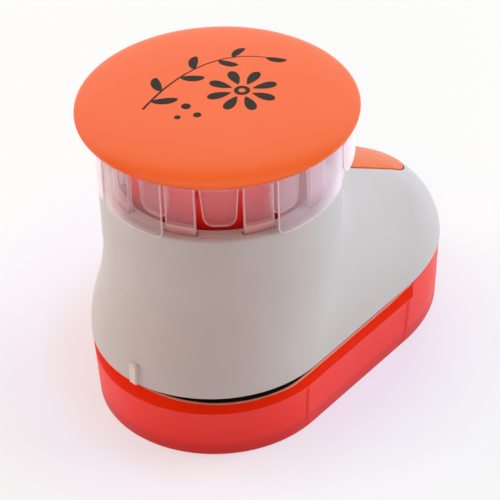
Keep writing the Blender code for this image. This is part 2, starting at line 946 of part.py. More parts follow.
def make_bracket():
    bracket = box(
        "lever_bracket",
        (-bracket_half_width, pivot_y - bracket_half_length, bracket_bottom),
        (bracket_half_width, pivot_y + bracket_half_length, bracket_top),
        ZINC,
    )
    foot = (pivot_y, bracket_top, ear_half_width)
    head = (pivot_y, pivot_height, ear_half_width)
    for side in (-1, 1):
        low, high = sorted((side * ear_inner, side * ear_outer))
        join(bracket, plate(f"bracket_ear_{side}", [strap_loop(foot, head)], low, high, upright=True))
        hole = cylinder(
            f"bracket_hole_{side}",
            (side * bracket_screw_x, pivot_y),
            screw_hole,
            bracket_bottom - cut_overrun,
            bracket_top + cut_overrun,
            screw_steps,
        )
        cut(bracket, hole)
    foot_cut = box(
        "ear_foot_cut",
        (-bracket_half_width, pivot_y - bracket_half_length, bracket_bottom - 2 * ear_half_width),
        (bracket_half_width, pivot_y + bracket_half_length, bracket_bottom),
    )
    cut(bracket, foot_cut)
    bore = cross_cylinder(
        "ear_bore", pivot_y, pivot_height, pivot_pin_radius + running_gap, ear_outer + cut_overrun
    )
    cut(bracket, bore)
    smooth(bracket)


def make_pin(name, y, z, radius, reach, headed):
    """A cross pin along X, with a head on its left end where it has one."""
    length = reach + pin_overhang
    profile = [(0.0, length), (radius, length), (radius, -length), (0.0, -length)]
    if headed:
        seat = -reach - seat_gap
        head = seat - pin_head_height
        profile = [
            (0.0, length + clip_width),
            (radius, length + clip_width),
            (radius, seat),
            (pin_head_radius, seat),
            (pin_head_radius, head),
            (0.0, head),
        ]
    pin = turned(name, profile, (0.0, y), small_steps, ZINC)
    pin.location.z = z
    pin.rotation_euler = (0.0, pi / 2, 0.0)
    smooth(pin)


def make_pivot_clip():
    near = ear_outer + seat_gap
    far = near + clip_width
    inner = pivot_pin_radius + running_gap
    profile = [(clip_radius, far), (clip_radius, near), (inner, near), (inner, far)]
    clip = turned("pivot_clip", profile, (0.0, pivot_y), small_steps, STEEL)
    clip.location.z = pivot_height
    clip.rotation_euler = (0.0, pi / 2, 0.0)
    smooth(clip)


# Ram, cutters, posts and springs

def make_ram():
    edge = rounded_box(ram_half_width, ram_half_depth, ram_corner)
    holes = [circle_loop((s * post_x, 0.0), post_radius + running_gap, small_steps) for s in (-1, 1)]
    ram = plate("ram_plate", [edge] + holes, ram_bottom, ram_top, STEEL)
    for side in (-1, 1):
        low, high = sorted((side * ear_inner, side * ear_outer))
        ear = box(
            f"ram_ear_{side}",
            (low, -ram_ear_half_depth, ram_top - ram_thickness / 2),
            (high, ram_ear_half_depth, link_height + ram_ear_margin),
        )
        join(ram, ear)
    bore = cross_cylinder(
        "link_bore", 0.0, link_height, link_pin_radius + running_gap, ear_outer + cut_overrun
    )
    cut(ram, bore)
    smooth(ram)


def make_cutters():
    """Each motif's prongs hang from one pad under the ram."""
    pad_low = cutter_top - cutter_pad
    prong_top = pad_low + cutter_pad_overlap
    flower_pad = circle_loop((flower_x, flower_y), flower_pad_radius, round_steps // 2)
    flower = plate("flower_cutter", [flower_pad], pad_low, cutter_top, STEEL)
    join(flower, plate("flower_prongs", flower_loops(0.0), cutter_bottom, prong_top))
    half_x = (sprig_right - sprig_left) / 2
    middle = (sprig_left + half_x, die_centre_y)
    sprig_pad = rounded_box(half_x, sprig_half_depth, ram_corner / 2, middle)
    sprig = plate("sprig_cutter", [sprig_pad], pad_low, cutter_top, STEEL)
    join(sprig, plate("sprig_prongs", sprig_loops(0.0), cutter_bottom, prong_top))
    smooth(flower)
    smooth(sprig)


def make_posts():
    shank_low = guide_bottom
    top = ram_top + post_top_margin
    collar_low = guide_top + seat_gap
    profile = [
        (0.0, top),
        (post_radius, top),
        (post_radius, post_collar_top),
        (post_collar_radius, post_collar_top),
        (post_collar_radius, collar_low),
        (post_radius, collar_low),
        (post_radius, shank_low),
        (0.0, shank_low),
    ]
    for side, name in ((-1, "guide_post_left"), (1, "guide_post_right")):
        smooth(turned(name, profile, (side * post_x, 0.0), small_steps, STEEL))


def make_springs():
    """Each return spring is one wire wound round its post."""
    low = spring_bottom + spring_wire / 2
    high = spring_top - spring_wire / 2
    count = round(spring_turns * coil_points)
    for side, name in ((-1, "return_spring_left"), (1, "return_spring_right")):
        curve = bpy.data.curves.new(name, "CURVE")
        curve.dimensions = "3D"
        curve.bevel_depth = spring_wire / 2
        curve.bevel_resolution = 1
        curve.use_fill_caps = True
        spline = curve.splines.new("POLY")
        spline.points.add(count)
        for i, point in enumerate(spline.points):
            turn = 2 * pi * i / coil_points
            height = low + (high - low) * i / count
            point.co = (spring_radius * cos(turn), spring_radius * sin(turn), height, 1.0)
        drawn = bpy.data.objects.new(name + "_curve", curve)
        CUTTERS.objects.link(drawn)
        drawn.location = (side * post_x, neck_y, 0.0)
        bpy.context.view_layer.update()
        smooth(meshed(name, drawn, SPRING), wire_crease_angle)


# Die set

def make_die_plate():
    edge = rounded_box(die_half_width, die_half_depth, die_corner, (0.0, die_centre_y))
    loops = flower_loops(cutter_clearance) + sprig_loops(cutter_clearance)
    bottom = pocket_floor + seat_gap
    plate("die_plate", [edge] + loops, bottom, bottom + die_thickness, STEEL)


def guide_edge():
    """The housing's own plan, inset and cut straight across at the rear."""
    plan = grown(body_levels()[0][0], -housing_wall - 2 * seat_gap)
    loop = [(x, y) for x, y in plan_loop(plan) if y < guide_rear]
    right = [(x, y) for x, y in loop if x >= 0.0]
    left = [(x, y) for x, y in loop if x < 0.0]
    corner = right[-1][0]
    return right + [(corner, guide_rear), (-corner, guide_rear)] + left


def countersink(name, place, wide_z, narrow_z):
    low, high = sorted((wide_z, narrow_z))
    wide = screw_head_radius + screw_play
    radii = (wide, screw_hole) if wide_z < narrow_z else (screw_hole, wide)
    return cylinder(name, place, radii[0], low, high, screw_steps, radii[1])


def make_guide_plate():
    holes = [circle_loop((s * post_x, 0.0), post_radius + seat_gap, small_steps) for s in (-1, 1)]
    loops = flower_loops(cutter_clearance) + sprig_loops(cutter_clearance)
    edge = guide_edge()
    guide = plate("guide_plate", [edge] + holes + loops, guide_bottom, guide_top, STEEL)
    low = guide_bottom - seat_gap
    high = guide_top + seat_gap
    for side in (-1, 1):
        place = (side * guide_screw_x, guide_screw_y)
        cut(guide, cylinder(f"guide_bore_{side}", place, screw_hole, low, high, screw_steps))
        cut(guide, countersink(f"guide_sink_{side}", place, low, guide_bottom + screw_head_height))
        place = (side * die_screw_x, die_screw_y)
        cut(guide, cylinder(f"die_bore_{side}", place, screw_hole, low, high, screw_steps))
        cut(guide, countersink(f"die_sink_{side}", place, high, guide_top - screw_head_height))


def make_throat_stop():
    edge = rounded_box(stop_half_width, stop_depth / 2, seat_gap, (0.0, die_screw_y))
    holes = [circle_loop((s * die_screw_x, die_screw_y), screw_hole, screw_steps) for s in (-1, 1)]
    plate("throat_stop", [edge] + holes, jaw_top + seat_gap, jaw_top + slot_height, BLACK)


# Lower jaw and tray

def tray_plan():
    inset = lobe_radius - tray_radius
    return grown(body_levels()[0][0], -inset)


def draft_at(height):
    return tray_draft * height / tray_rear_top


def tray_ring(inset, height):
    """The tray's outside at a height, or a surface inside it by the inset."""
    return plan_ring(grown(tray_plan(), draft_at(height) - inset), height)


def make_jaw():
    """A band flush with the tray, a core inside it and a block that closes the throat."""
    core_plan = grown(tray_plan(), -jaw_inset)
    jaw = loft(
        "lower_jaw",
        [plan_ring(core_plan, jaw_bottom), plan_ring(core_plan, block_top)],
        capped=True,
        material=JAW_RED,
    )
    top = block_top + cut_overrun
    cut(jaw, box("throat_cut", (-beyond, -beyond, jaw_top), (beyond, block_front, top)))
    band = loft("jaw_band", [tray_ring(0.0, band_bottom), tray_ring(0.0, jaw_top)], capped=True)
    cut(band, box("band_rear_cut", (-beyond, band_end, jaw_bottom), (beyond, beyond, top)))
    join(jaw, band)
    pocket = rounded_box(
        die_half_width + seat_gap, die_half_depth + seat_gap, die_corner + seat_gap, (0.0, die_centre_y)
    )
    cut(jaw, plate("die_pocket", [pocket], pocket_floor, jaw_top + cut_overrun))
    chute = rounded_box(
        die_half_width - ledge_width, die_half_depth - ledge_width, die_corner, (0.0, die_centre_y)
    )
    cut(jaw, plate("chip_chute", [chute], jaw_bottom - cut_overrun, pocket_floor + seat_gap))
    drill_jaw(jaw)
    smooth(jaw)


def drill_jaw(jaw):
    low = jaw_bottom - cut_overrun
    high = block_top + cut_overrun
    head = screw_head_radius + screw_play
    seat = jaw_bottom + screw_head_height + screw_play
    for i, place in enumerate(screw_places()):
        cut(jaw, cylinder(f"jaw_bore_{i}", place, screw_hole, low, high, screw_steps))
        cut(jaw, cylinder(f"jaw_sink_{i}", place, head, low, seat, screw_steps))
    die_tip = guide_top - die_screw_length - screw_play
    bracket_tip = bracket_top + screw_head_height - bracket_screw_length - screw_play
    for side in (-1, 1):
        place = (side * die_screw_x, die_screw_y)
        cut(jaw, cylinder(f"die_pilot_{side}", place, screw_hole, die_tip, high, screw_steps))
        place = (side * bracket_screw_x, pivot_y)
        cut(jaw, cylinder(f"bracket_pilot_{side}", place, screw_hole, bracket_tip, high, screw_steps))


def make_tray():
    tray = loft(
        "chip_tray",
        [
            tray_ring(tray_foot_inset, 0.0),
            tray_ring(0.0, tray_foot_height),
            tray_ring(0.0, tray_top),
            tray_ring(0.0, tray_rear_top),
        ],
        capped=True,
        material=TRAY_RED,
    )
    hollow = loft(
        "tray_hollow",
        [
            tray_ring(tray_wall + tray_foot_inset, tray_floor),
            tray_ring(tray_wall, tray_floor + tray_foot_height),
            tray_ring(tray_wall, tray_rear_top + cut_overrun),
        ],
        capped=True,
    )
    cut(tray, hollow)
    far = (beyond, band_end + seat_gap, tray_rear_top + cut_overrun)
    cut(tray, box("tray_front_cut", (-beyond, -beyond, tray_top), far))
    add_tray_ribs(tray)
    smooth(tray)


def add_tray_ribs(tray):
    """Two upright ribs inside each side wall, where the straight stretch starts and ends."""
    for i, y in enumerate((-lobe_shift, band_end)):
        angle = atan2(tray_radius, -y)
        inner = plan_reach(grown(tray_plan(), -tray_wall), angle) * sin(angle)
        for side in (-1, 1):
            low, high = sorted((side * (inner - tray_rib_depth), side * (inner + tray_wall / 2)))
            rib = box(
                f"tray_rib_{i}_{side}",
                (low, y - tray_rib_half_width, tray_floor / 2),
                (high, y + tray_rib_half_width, jaw_bottom - seat_gap),
            )
            join(tray, rib)


# Fasteners

def make_screw(name, place, head_z, length, upward=False, countersunk=False):
    """A screw whose head starts at head_z and whose shank runs down, or up, from there."""
    head = screw_head_height
    shoulder = screw_radius if countersunk else screw_head_radius
    profile = [
        (0.0, 0.0),
        (screw_head_radius, 0.0),
        (shoulder, -head),
        (screw_radius, -head),
        (screw_radius, -length + screw_radius),
        (screw_radius / 2, -length),
        (0.0, -length),
    ]
    if countersunk:
        profile.pop(3)
    made = turned(name, profile, place, screw_steps, ZINC)
    made.location.z = head_z
    low, high = -recess_depth, cut_overrun
    if upward:
        made.rotation_euler = (pi, 0.0, 0.0)
        low, high = -cut_overrun, recess_depth
    cut(made, cylinder(name + "_recess", place, recess_radius, head_z + low, head_z + high, recess_sides))
    smooth(made)


def make_screws():
    names = ("housing_screw_front", "housing_screw_rear")
    for name, (x, y) in zip(names, (front_screw, rear_screw)):
        for side, label in ((-1, "left"), (1, "right")):
            make_screw(f"{name}_{label}", (side * x, y), jaw_bottom, housing_screw_length, upward=True)
    for side, label in ((-1, "left"), (1, "right")):
        place = (side * guide_screw_x, guide_screw_y)
        make_screw(f"guide_screw_{label}", place, guide_bottom, guide_screw_length, True, True)
        place = (side * die_screw_x, die_screw_y)
        make_screw(f"die_screw_{label}", place, guide_top, die_screw_length, False, True)
        place = (side * bracket_screw_x, pivot_y)
        top = bracket_top + seat_gap + screw_head_height
        make_screw(f"bracket_screw_{label}", place, top, bracket_screw_length)


make_housing()
make_rear_cover()
make_stop_ring()
make_button()
make_sleeve()
make_plunger()
make_lever()
make_bracket()
make_pin("pivot_pin", pivot_y, pivot_height, pivot_pin_radius, ear_outer, True)
make_pin("link_pin", 0.0, link_height, link_pin_radius, ear_outer, False)
make_pivot_clip()
make_ram()
make_cutters()
make_posts()
make_springs()
make_die_plate()
make_guide_plate()
make_throat_stop()
make_jaw()
make_tray()
make_screws()
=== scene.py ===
"""Looks of the flower craft punch: materials, fine pieces, light and camera, over the fixed frame.

Units are metres and +Z is up. The neck's axis stands at y = NECK_Y, and the front is -Y.
"""

import json
from collections import namedtuple
from math import atan2, cos, degrees, hypot, pi, radians, sin, sqrt

import bmesh
import bpy
from mathutils import Matrix, Vector

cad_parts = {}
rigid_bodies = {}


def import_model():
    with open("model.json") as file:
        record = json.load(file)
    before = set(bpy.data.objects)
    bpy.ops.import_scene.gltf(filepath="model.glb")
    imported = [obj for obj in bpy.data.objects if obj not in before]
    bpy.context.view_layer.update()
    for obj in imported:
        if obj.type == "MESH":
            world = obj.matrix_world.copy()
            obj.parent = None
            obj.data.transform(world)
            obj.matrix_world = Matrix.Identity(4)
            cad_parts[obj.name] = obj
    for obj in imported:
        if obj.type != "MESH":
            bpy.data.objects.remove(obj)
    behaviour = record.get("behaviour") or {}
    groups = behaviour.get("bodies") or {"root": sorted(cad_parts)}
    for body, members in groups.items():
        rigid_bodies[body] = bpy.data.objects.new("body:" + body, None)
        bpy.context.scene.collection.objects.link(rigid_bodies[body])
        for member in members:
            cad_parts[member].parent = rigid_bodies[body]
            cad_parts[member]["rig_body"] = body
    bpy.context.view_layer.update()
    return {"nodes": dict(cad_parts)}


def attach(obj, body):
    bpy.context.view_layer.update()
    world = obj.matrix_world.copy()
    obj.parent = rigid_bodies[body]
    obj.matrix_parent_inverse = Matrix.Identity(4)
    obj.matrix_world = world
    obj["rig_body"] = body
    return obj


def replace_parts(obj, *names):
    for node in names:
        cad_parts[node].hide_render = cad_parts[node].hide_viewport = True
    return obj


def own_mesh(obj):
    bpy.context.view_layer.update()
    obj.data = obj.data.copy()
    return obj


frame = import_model()
nodes = frame["nodes"]

NECK_Y = -0.01805

# Camera, fitted to the photograph
LENS = 199.08
SENSOR_WIDTH = 36.0
IMAGE_SIDE = 500
CAMERA_AZIMUTH = 43.9
CAMERA_ELEVATION = 37.5
CAMERA_ROLL = -2.06
CAMERA_DISTANCE = 0.700
CAMERA_TARGET = (0.0, NECK_Y, 0.040)
CAMERA_CLIP = (0.01, 50.0)
TARGET_PIXEL = (223.3, 248.8)

# Level directions to the photograph's right and towards its viewer
PHOTO_RIGHT = (cos(radians(CAMERA_AZIMUTH)), sin(radians(CAMERA_AZIMUTH)), 0.0)
PHOTO_FRONT = (sin(radians(CAMERA_AZIMUTH)), -cos(radians(CAMERA_AZIMUTH)), 0.0)

# Button, whose lip is given inwards from its edge and down from its rim
BUTTON_RADIUS = 0.0350
BUTTON_RIM = 0.0841
BUTTON_CROWN = 0.00205
BUTTON_FLATNESS = 3.0
BUTTON_UNDER = 0.0820
BUTTON_LIP = ((0.0002, 0.0002), (0.0010, 0.0004), (0.0028, 0.0009))
BUTTON_RECESS = 0.0034
BUTTON_STEPS = 48
BUTTON_SIDES = 192

# Print on the button, placed across and along from the neck's axis, turned to the photo's right
PRINT_TURN = 43.9
PRINT_LIFT = 0.00003
PRINT_MEETING = 0.00001
STEM_CURVE = ((-0.0180, -0.0035), (-0.0120, 0.0075), (-0.0020, 0.0215), (0.0125, 0.0175))
STEM_HALF_WIDTH = 0.00030
STEM_THINNING = 0.6
STEM_STEPS = 40
STEM_NEAR = 0.01
DAISY_CENTRE = (0.0062, 0.0030)
DAISY_PETALS = 8
DAISY_TURN = 0.30
DAISY_FOOT = 0.0027
DAISY_RING = (0.0009, 0.0020)
BERRIES = (
    ((-0.0075, -0.0030), 0.0012),
    ((-0.0048, -0.0068), 0.0010),
    ((-0.0096, -0.0075), 0.0008),
)
PETAL_STEPS = 20
RING_STEPS = 28

# Leaves: share of the stem, lean from it in radians, length and width
STEM_LEAVES = (
    (0.10, -0.95, 0.0066, 0.0027),
    (0.22, 0.85, 0.0062, 0.0026),
    (0.40, -0.90, 0.0060, 0.0026),
    (0.52, 0.80, 0.0058, 0.0025),
    (0.70, -0.85, 0.0054, 0.0023),
    (0.80, 0.75, 0.0050, 0.0022),
    (1.00, 0.00, 0.0052, 0.0021),
)
LEAF_BEND = 0.0006
LEAF_FULLNESS = 0.15
PETAL_SIZE = (0.0062, 0.0035)
PETAL_FULLNESS = 0.9

# Clear sleeve, with turns and half widths in degrees from +X about the neck's axis
FLUTES = 9
FLUTE_TURN = -26.6
SLEEVE_WALL = 0.0012
SLEEVE_TOP = 0.0817
SLEEVE_LAP = 0.0001
WEB_BOTTOM = 0.0802
WEB_RADIUS = 0.0309
WEB_EDGE = 0.0003
WEB_SIDES = 128
FINGER_RADIUS = 0.0280
FINGER_HALF = 7.9
FINGER_BOTTOM = 0.0595
FINGER_FOOT = 0.0674
FINGER_ROUND = 0.0008
FINGER_ROWS = 5
TONGUE_RADIUS = 0.0252
TONGUE_HALF = 9.4
TONGUE_SPREAD = 2.2
TONGUE_BOTTOM = 0.0660
TONGUE_ROUND = 0.0026
SKIRT_RADIUS = 0.0309
SKIRT_WALL = 0.0004
SKIRT_BOTTOM = 0.0645
SKIRT_ROUND = 0.0020
SKIRT_LAP = 0.0004
SKIRTS = ((-134.6, 21.0), (-92.2, 19.0), (5.7, 25.1), (49.4, 17.4))
LOBE_PANEL = (38.0, 20.0)
LOBE_PANEL_RADIUS = 0.0336
LOBE_PANEL_BOTTOM = 0.0718
LOBE_PANEL_ROUND = 0.0035
LOBE_PANEL_LAP = 0.0010
LOBE_RING = (WEB_BOTTOM + 0.0006, SLEEVE_TOP - 0.0003)

# Panels of the sleeve: their outline's width, the rows and columns, and the materials' slots. The
# outline's slot holds a painted highlight on the panels' edges
OUTLINE = 0.0003
OUTLINE_ROWS = 3
PANEL_COLUMNS = 16
ROUND_ROWS = 8
EVEN_ROWS = 6
EDGE_HIGHLIGHT_SLOT = 1
FOOT_SLOT = 2

# Housing
WAIST_RADIUS = 0.0295
LOBE_RADIUS = 0.0320
LOBE_SHIFT = 0.0037
TAIL_REACH = 0.0724
TAIL_HALF_WIDTH = 0.0290
TAIL_AXIS = 0.0370
RIDGE_HALF_WIDTH = 0.0100
RIDGE_NOSE_AXIS = 0.0045
HOUSING_BOTTOM = 0.0196
HOUSING_TOP = 0.0652
HOUSING_WALL = 0.0015
RIM_ROUND = 0.0007
RIM_CHAMFER = 0.0004
FOOT_ROUND = 0.0003
RIM_STEPS = 6
FOOT_STEPS = 4
SKIN_ROWS = 72
INSIDE_ROWS = 36

# Collar, whose columns are given as shares of a flute's turn
COLLAR_SLOT_HALF = 0.222
COLLAR_MARKS = (-0.5, -0.36, -0.222, -0.148, -0.074, 0.0, 0.074, 0.148, 0.222, 0.36)
COLLAR_RADII = (0.0255, 0.0265, 0.0283, 0.0287)
COLLAR_SINK = 0.00008

# Front rib
RIB_X = 0.0020
RIB_HALF_WIDTH = 0.0012
RIB_HEIGHT = 0.0061
RIB_PROUD = 0.0006
RIB_DEPTH = 0.0009
RIB_LEAN = 0.0001
RIB_BEVEL = 0.00025

# Cover
COVER_FRONT = 0.0312
COVER_NOSE = 0.0660
COVER_HALF_WIDTH = 0.0084
COVER_GAP = 0.0003
COVER_STEPS = 48
COVER_WINDOW = (0.0215, 0.0600)

# Jaw and tray
TRAY_RADIUS = 0.0308
TRAY_DRAFT = 0.0010
TRAY_WALL = 0.0018
TRAY_FLOOR = 0.0016
TRAY_FOOT = 0.0009
TRAY_GAP = 0.0003
TRAY_TOP = HOUSING_BOTTOM - TRAY_GAP
TRAY_CUT_REACH = 0.1
TRAY_CUT_TOP = HOUSING_BOTTOM + 0.002
TRAY_FOOT_STEPS = 6
TRAY_ROWS = 8
JAW_TOP = 0.0174
BAND_BOTTOM = 0.0146
BAND_END = 0.0407
BAND_SKIN = 0.00003
BAND_LAP = 0.00028
BAND_DEPTH = 0.0003
BAND_STEPS = 220
LIP_WIDTH = 0.0007
LIP_ROOT = 0.0001
# Black sheet of painted shade in the paper slot: its reach, heights and steps
SHADE_SHEET_REACH = 0.0050
SHADE_SHEET_HEIGHTS = (0.00002, 0.00012)
SHADE_SHEET_STEPS = 150
SEAM_HALF = 0.0006
SEAM_PROUD = 0.00003
SEAM_BASE = 0.000005
SEAM_DEPTH = 0.0003
SEAM_HEIGHTS = (0.0010, 0.0138)
SEAM_STEPS = 8

# Lip's rounded edge, inwards from the tray's outside and down from the lip's top
LIP_EDGE = ((-BAND_SKIN, 0.0003), (0.00005, 0.0001), (0.00022, 0.0))

# Distances behind the neck's axis of the tray's seams and of the ends of the band and of the black
# sheet of painted shade on it
SEAM_PLACES = (-LOBE_SHIFT, BAND_END - 0.0012)
BAND_STOP = BAND_END - 0.0001
SHADE_SHEET_STOP = BAND_END - 0.0008

# Lip's height at angles from the front, with the mouth of the paper slot at the right
LIP_HEIGHTS = (
    (-142.0, 0.01930), (-70.0, 0.01945), (0.0, 0.01945), (8.0, 0.01915), (16.0, 0.01865),
    (26.0, 0.01810), (38.0, 0.01768), (50.0, 0.01750), (62.0, 0.01742), (70.0, 0.01746),
    (76.0, 0.01772), (82.0, 0.01825), (90.0, 0.01848), (136.0, 0.01848), (142.0, 0.01900),
)

# Return springs
SPRING_RADIUS = 0.0036
SPRING_WIRE = 0.0003
SPRING_TURNS = 4.5
SPRING_STEPS = 24
SPRING_SIDES = 8

# Looks: where most of a noise's values lie, and the scales of some noises
NOISE_LOW = 0.3
NOISE_HIGH = 0.7
TONE_SCALE = 55.0
GLOSS_SCALE = 7 * TONE_SCALE
STEEL_SCALE = 900.0
FINE_SCALE = 300.0

# Painted glare on the clear plastic: haze added by place, which comes in between two distances to
# the right of the neck's axis. Then the colour of the painted glow, an emission that stands in for
# the room's light carried through the plastic
PAINTED_GLARE_REACH = (0.0105, 0.018)
PAINTED_GLOW_COLOUR = (1.0, 0.93, 0.98, 1.0)

# Share of the light that shines through the tray, and the tint that it takes
TRAY_SHARE = 0.55
TRAY_TINT = (1.0, 0.42, 0.44, 1.0)

# Tones over the tray's height, up to TRAY_TONES_TOP
TRAY_TONES_TOP = 0.0200
TRAY_TONES = (
    (0.00, (0.64, 0.008, 0.006)),
    (0.16, (0.70, 0.010, 0.007)),
    (0.24, (0.86, 0.020, 0.011)),
    (0.70, (0.92, 0.030, 0.016)),
)

# Floor: its glow's share of what the camera sees, and the glow's tones from the punch outwards:
# near the punch they are painted shade and a painted pink glow from the red tray, pinker at the
# left
FLOOR_HALF = 6.0
FLOOR_GLOW = 0.72
FLOOR_PAINTED_SHADE_REACH = (0.036, 0.10)
FLOOR_ACROSS = (-0.03, 0.02)
FLOOR_PAINTED_SHADE_LEFT = (
    (0.00, (0.88, 0.78, 0.79)),
    (0.28, (0.91, 0.81, 0.84)),
    (0.44, (0.95, 0.90, 0.98)),
    (1.00, (0.985, 1.00, 0.985)),
)
FLOOR_PAINTED_SHADE_RIGHT = (
    (0.00, (0.88, 0.81, 0.96)),
    (0.25, (0.94, 0.92, 1.00)),
    (0.45, (0.97, 0.98, 1.00)),
    (1.00, (0.985, 1.00, 0.985)),
)

# Room light from behind to before the punch, and what gloss mirrors from level to straight up
ROOM_REACH = (-0.2, 0.8)
ROOM_TONES = ((0.0, (0.27, 0.27, 0.28)), (1.0, (0.07, 0.05, 0.04)))
MIRROR_TONES = (
    (0.00, (1.0, 1.0, 1.0)),
    (0.70, (1.0, 1.0, 1.0)),
    (0.735, (0.10, 0.10, 0.10)),
    (0.83, (0.10, 0.10, 0.10)),
    (0.87, (0.75, 0.75, 0.75)),
)
WHITE = (1.0, 1.0, 1.0, 1.0)
LAMP_TARGET = (0.0, 0.0, 0.04)

# Rounds of halving in a search
HALVINGS = 40


def evenly(first, last, count):
    """Numbers at count even steps from first to last, both included."""
    return [first + (last - first) * i / count for i in range(count + 1)]


# Node helpers

def new_material(name):
    made = bpy.data.materials.new(name)
    made.use_nodes = True
    return made, made.node_tree, made.node_tree.nodes["Principled BSDF"]


def feed(tree, node, inputs):
    """Sets a node's inputs, by links where they are other nodes' outputs."""
    for key, value in inputs.items():
        if isinstance(value, bpy.types.NodeSocket):
            tree.links.new(value, node.inputs[key])
        else:
            node.inputs[key].default_value = value


def add_node(tree, kind, inputs=None, **settings):
    made = tree.nodes.new(kind)
    for key, value in settings.items():
        setattr(made, key, value)
    feed(tree, made, inputs or {})
    return made


def place_in(tree, space="Object"):
    return add_node(tree, "ShaderNodeTexCoord").outputs[space]


def noise(tree, scale, detail=2.0, stretch=None):
    """Noise in the object's own metres, stretched along an axis where asked."""
    place = place_in(tree)
    if stretch is not None:
        place = add_node(tree, "ShaderNodeMapping", {"Vector": place, "Scale": stretch}).outputs[0]
    inputs = {"Vector": place, "Scale": scale, "Detail": detail}
    return add_node(tree, "ShaderNodeTexNoise", inputs).outputs["Fac"]


def height(tree, place):
    return add_node(tree, "ShaderNodeSeparateXYZ", {"Vector": place}).outputs["Z"]


def along(tree, place, direction):
    """How far a place lies along a direction."""
    inputs = {0: place, 1: direction}
    return add_node(tree, "ShaderNodeVectorMath", inputs, operation="DOT_PRODUCT").outputs["Value"]


def spread(tree, source, low, high, first=0.0, last=1.0):
    """A number that runs from first to last while the source runs from low to high."""
    inputs = {"Value": source, "From Min": low, "From Max": high, "To Min": first, "To Max": last}
    return add_node(tree, "ShaderNodeMapRange", inputs).outputs["Result"]


def tones(tree, source, stops):
    """A colour ramp over the source, given as (place, colour) stops."""
    made = add_node(tree, "ShaderNodeValToRGB", {"Fac": source})
    band = made.color_ramp
    while len(band.elements) < len(stops):
        band.elements.new(0.5)
    for element, (place, colour) in zip(band.elements, stops):
        element.position = place
        element.color = (*colour, 1.0)
    return made.outputs["Color"]


def mottled(tree, source, dark, light):
    """A colour that drifts between two tones with a noise."""
    return tones(tree, source, ((NOISE_LOW, dark), (NOISE_HIGH, light)))


def uneven(tree, source, low, high):
    """A number that drifts between two others with a noise."""
    return spread(tree, source, NOISE_LOW, NOISE_HIGH, low, high)


def reckon(tree, operation, first, last, clamp=False):
    """Two numbers put together by a math node."""
    inputs = {0: first, 1: last}
    made = add_node(tree, "ShaderNodeMath", inputs, operation=operation, use_clamp=clamp)
    return made.outputs["Value"]


def blend(tree, share, first, last, kind="MIX"):
    """A colour that goes from first to last with the share."""
    inputs = {"Factor": share, "A": first, "B": last}
    made = add_node(tree, "ShaderNodeMix", inputs, data_type="RGBA", blend_type=kind)
    return made.outputs["Result"]


def bump(tree, source, distance, strength):
    inputs = {"Height": source, "Distance": distance, "Strength": strength}
    return add_node(tree, "ShaderNodeBump", inputs).outputs["Normal"]


def cover_surface(tree, share, first, last):
    """Makes the surface a mix of two shaders."""
    mixed = add_node(tree, "ShaderNodeMixShader", {"Fac": share, 1: first, 2: last})
    feed(tree, tree.nodes["Material Output"], {"Surface": mixed.outputs["Shader"]})


# Materials

def moulded(name, dark, light, rough, depth, grain=1500.0, specular=0.5):
    """Moulded plastic: tone that drifts a little, a fine surface grain and uneven gloss."""
    made, tree, shader = new_material(name)
    feed(tree, shader, {
        "Base Color": mottled(tree, noise(tree, TONE_SCALE, 3.0), dark, light),
        "Roughness": uneven(tree, noise(tree, GLOSS_SCALE), *rough),
        "Normal": bump(tree, noise(tree, grain), depth, 0.35),
        "Specular IOR Level": specular,
    })
    return made


def metal(name, dark, light, rough, stretch):
    """Rolled or drawn steel with a fine grain along one axis."""
    made, tree, shader = new_material(name)
    grain = noise(tree, STEEL_SCALE, 3.0, stretch)
    feed(tree, shader, {
        "Base Color": mottled(tree, grain, dark, light),
        "Roughness": uneven(tree, noise(tree, FINE_SCALE), *rough),
        "Normal": bump(tree, grain, 0.000004, 0.5),
        "Metallic": 1.0,
    })
    return made


def clear_plastic(name, first, last, haze, rough, painted_glare=0.0, painted_glow=0.0, turning=(0.50, 0.85)):
    """Clear moulded plastic: a faint haze that thickens where the wall turns away, a painted glare
    (haze added by place) on the side that faces the window, and a painted glow (emission) where
    the wall is seen edge-on, standing in for the room's light."""
    made, tree, shader = new_material(name)
    facing = add_node(tree, "ShaderNodeLayerWeight", {"Blend": 0.35}).outputs["Facing"]
    thick = spread(tree, facing, *turning, *haze)
    across = along(tree, place_in(tree), PHOTO_RIGHT)
    start, end = (NECK_Y * PHOTO_RIGHT[1] + reach for reach in PAINTED_GLARE_REACH)
    # Painted glare: more haze, so a brighter wall, on the side to the right of the neck's axis
    glare_paint = spread(tree, across, start, end, 0.0, painted_glare)
    feed(tree, shader, {
        "Base Color": mottled(tree, noise(tree, 90.0), first, last),
        "Roughness": uneven(tree, noise(tree, FINE_SCALE), rough, rough + 0.06),
        "Normal": bump(tree, noise(tree, 220.0, 1.0), 0.00002, 0.15),
        "Alpha": reckon(tree, "ADD", thick, glare_paint, clamp=True),
        # Painted glow: emission where the wall is seen edge-on, though the plastic is no lamp
        "Emission Color": PAINTED_GLOW_COLOUR,
        "Emission Strength": spread(tree, facing, *turning, 0.0, painted_glow),
        "IOR": 1.46,
        "Specular IOR Level": 0.8,
    })
    return made


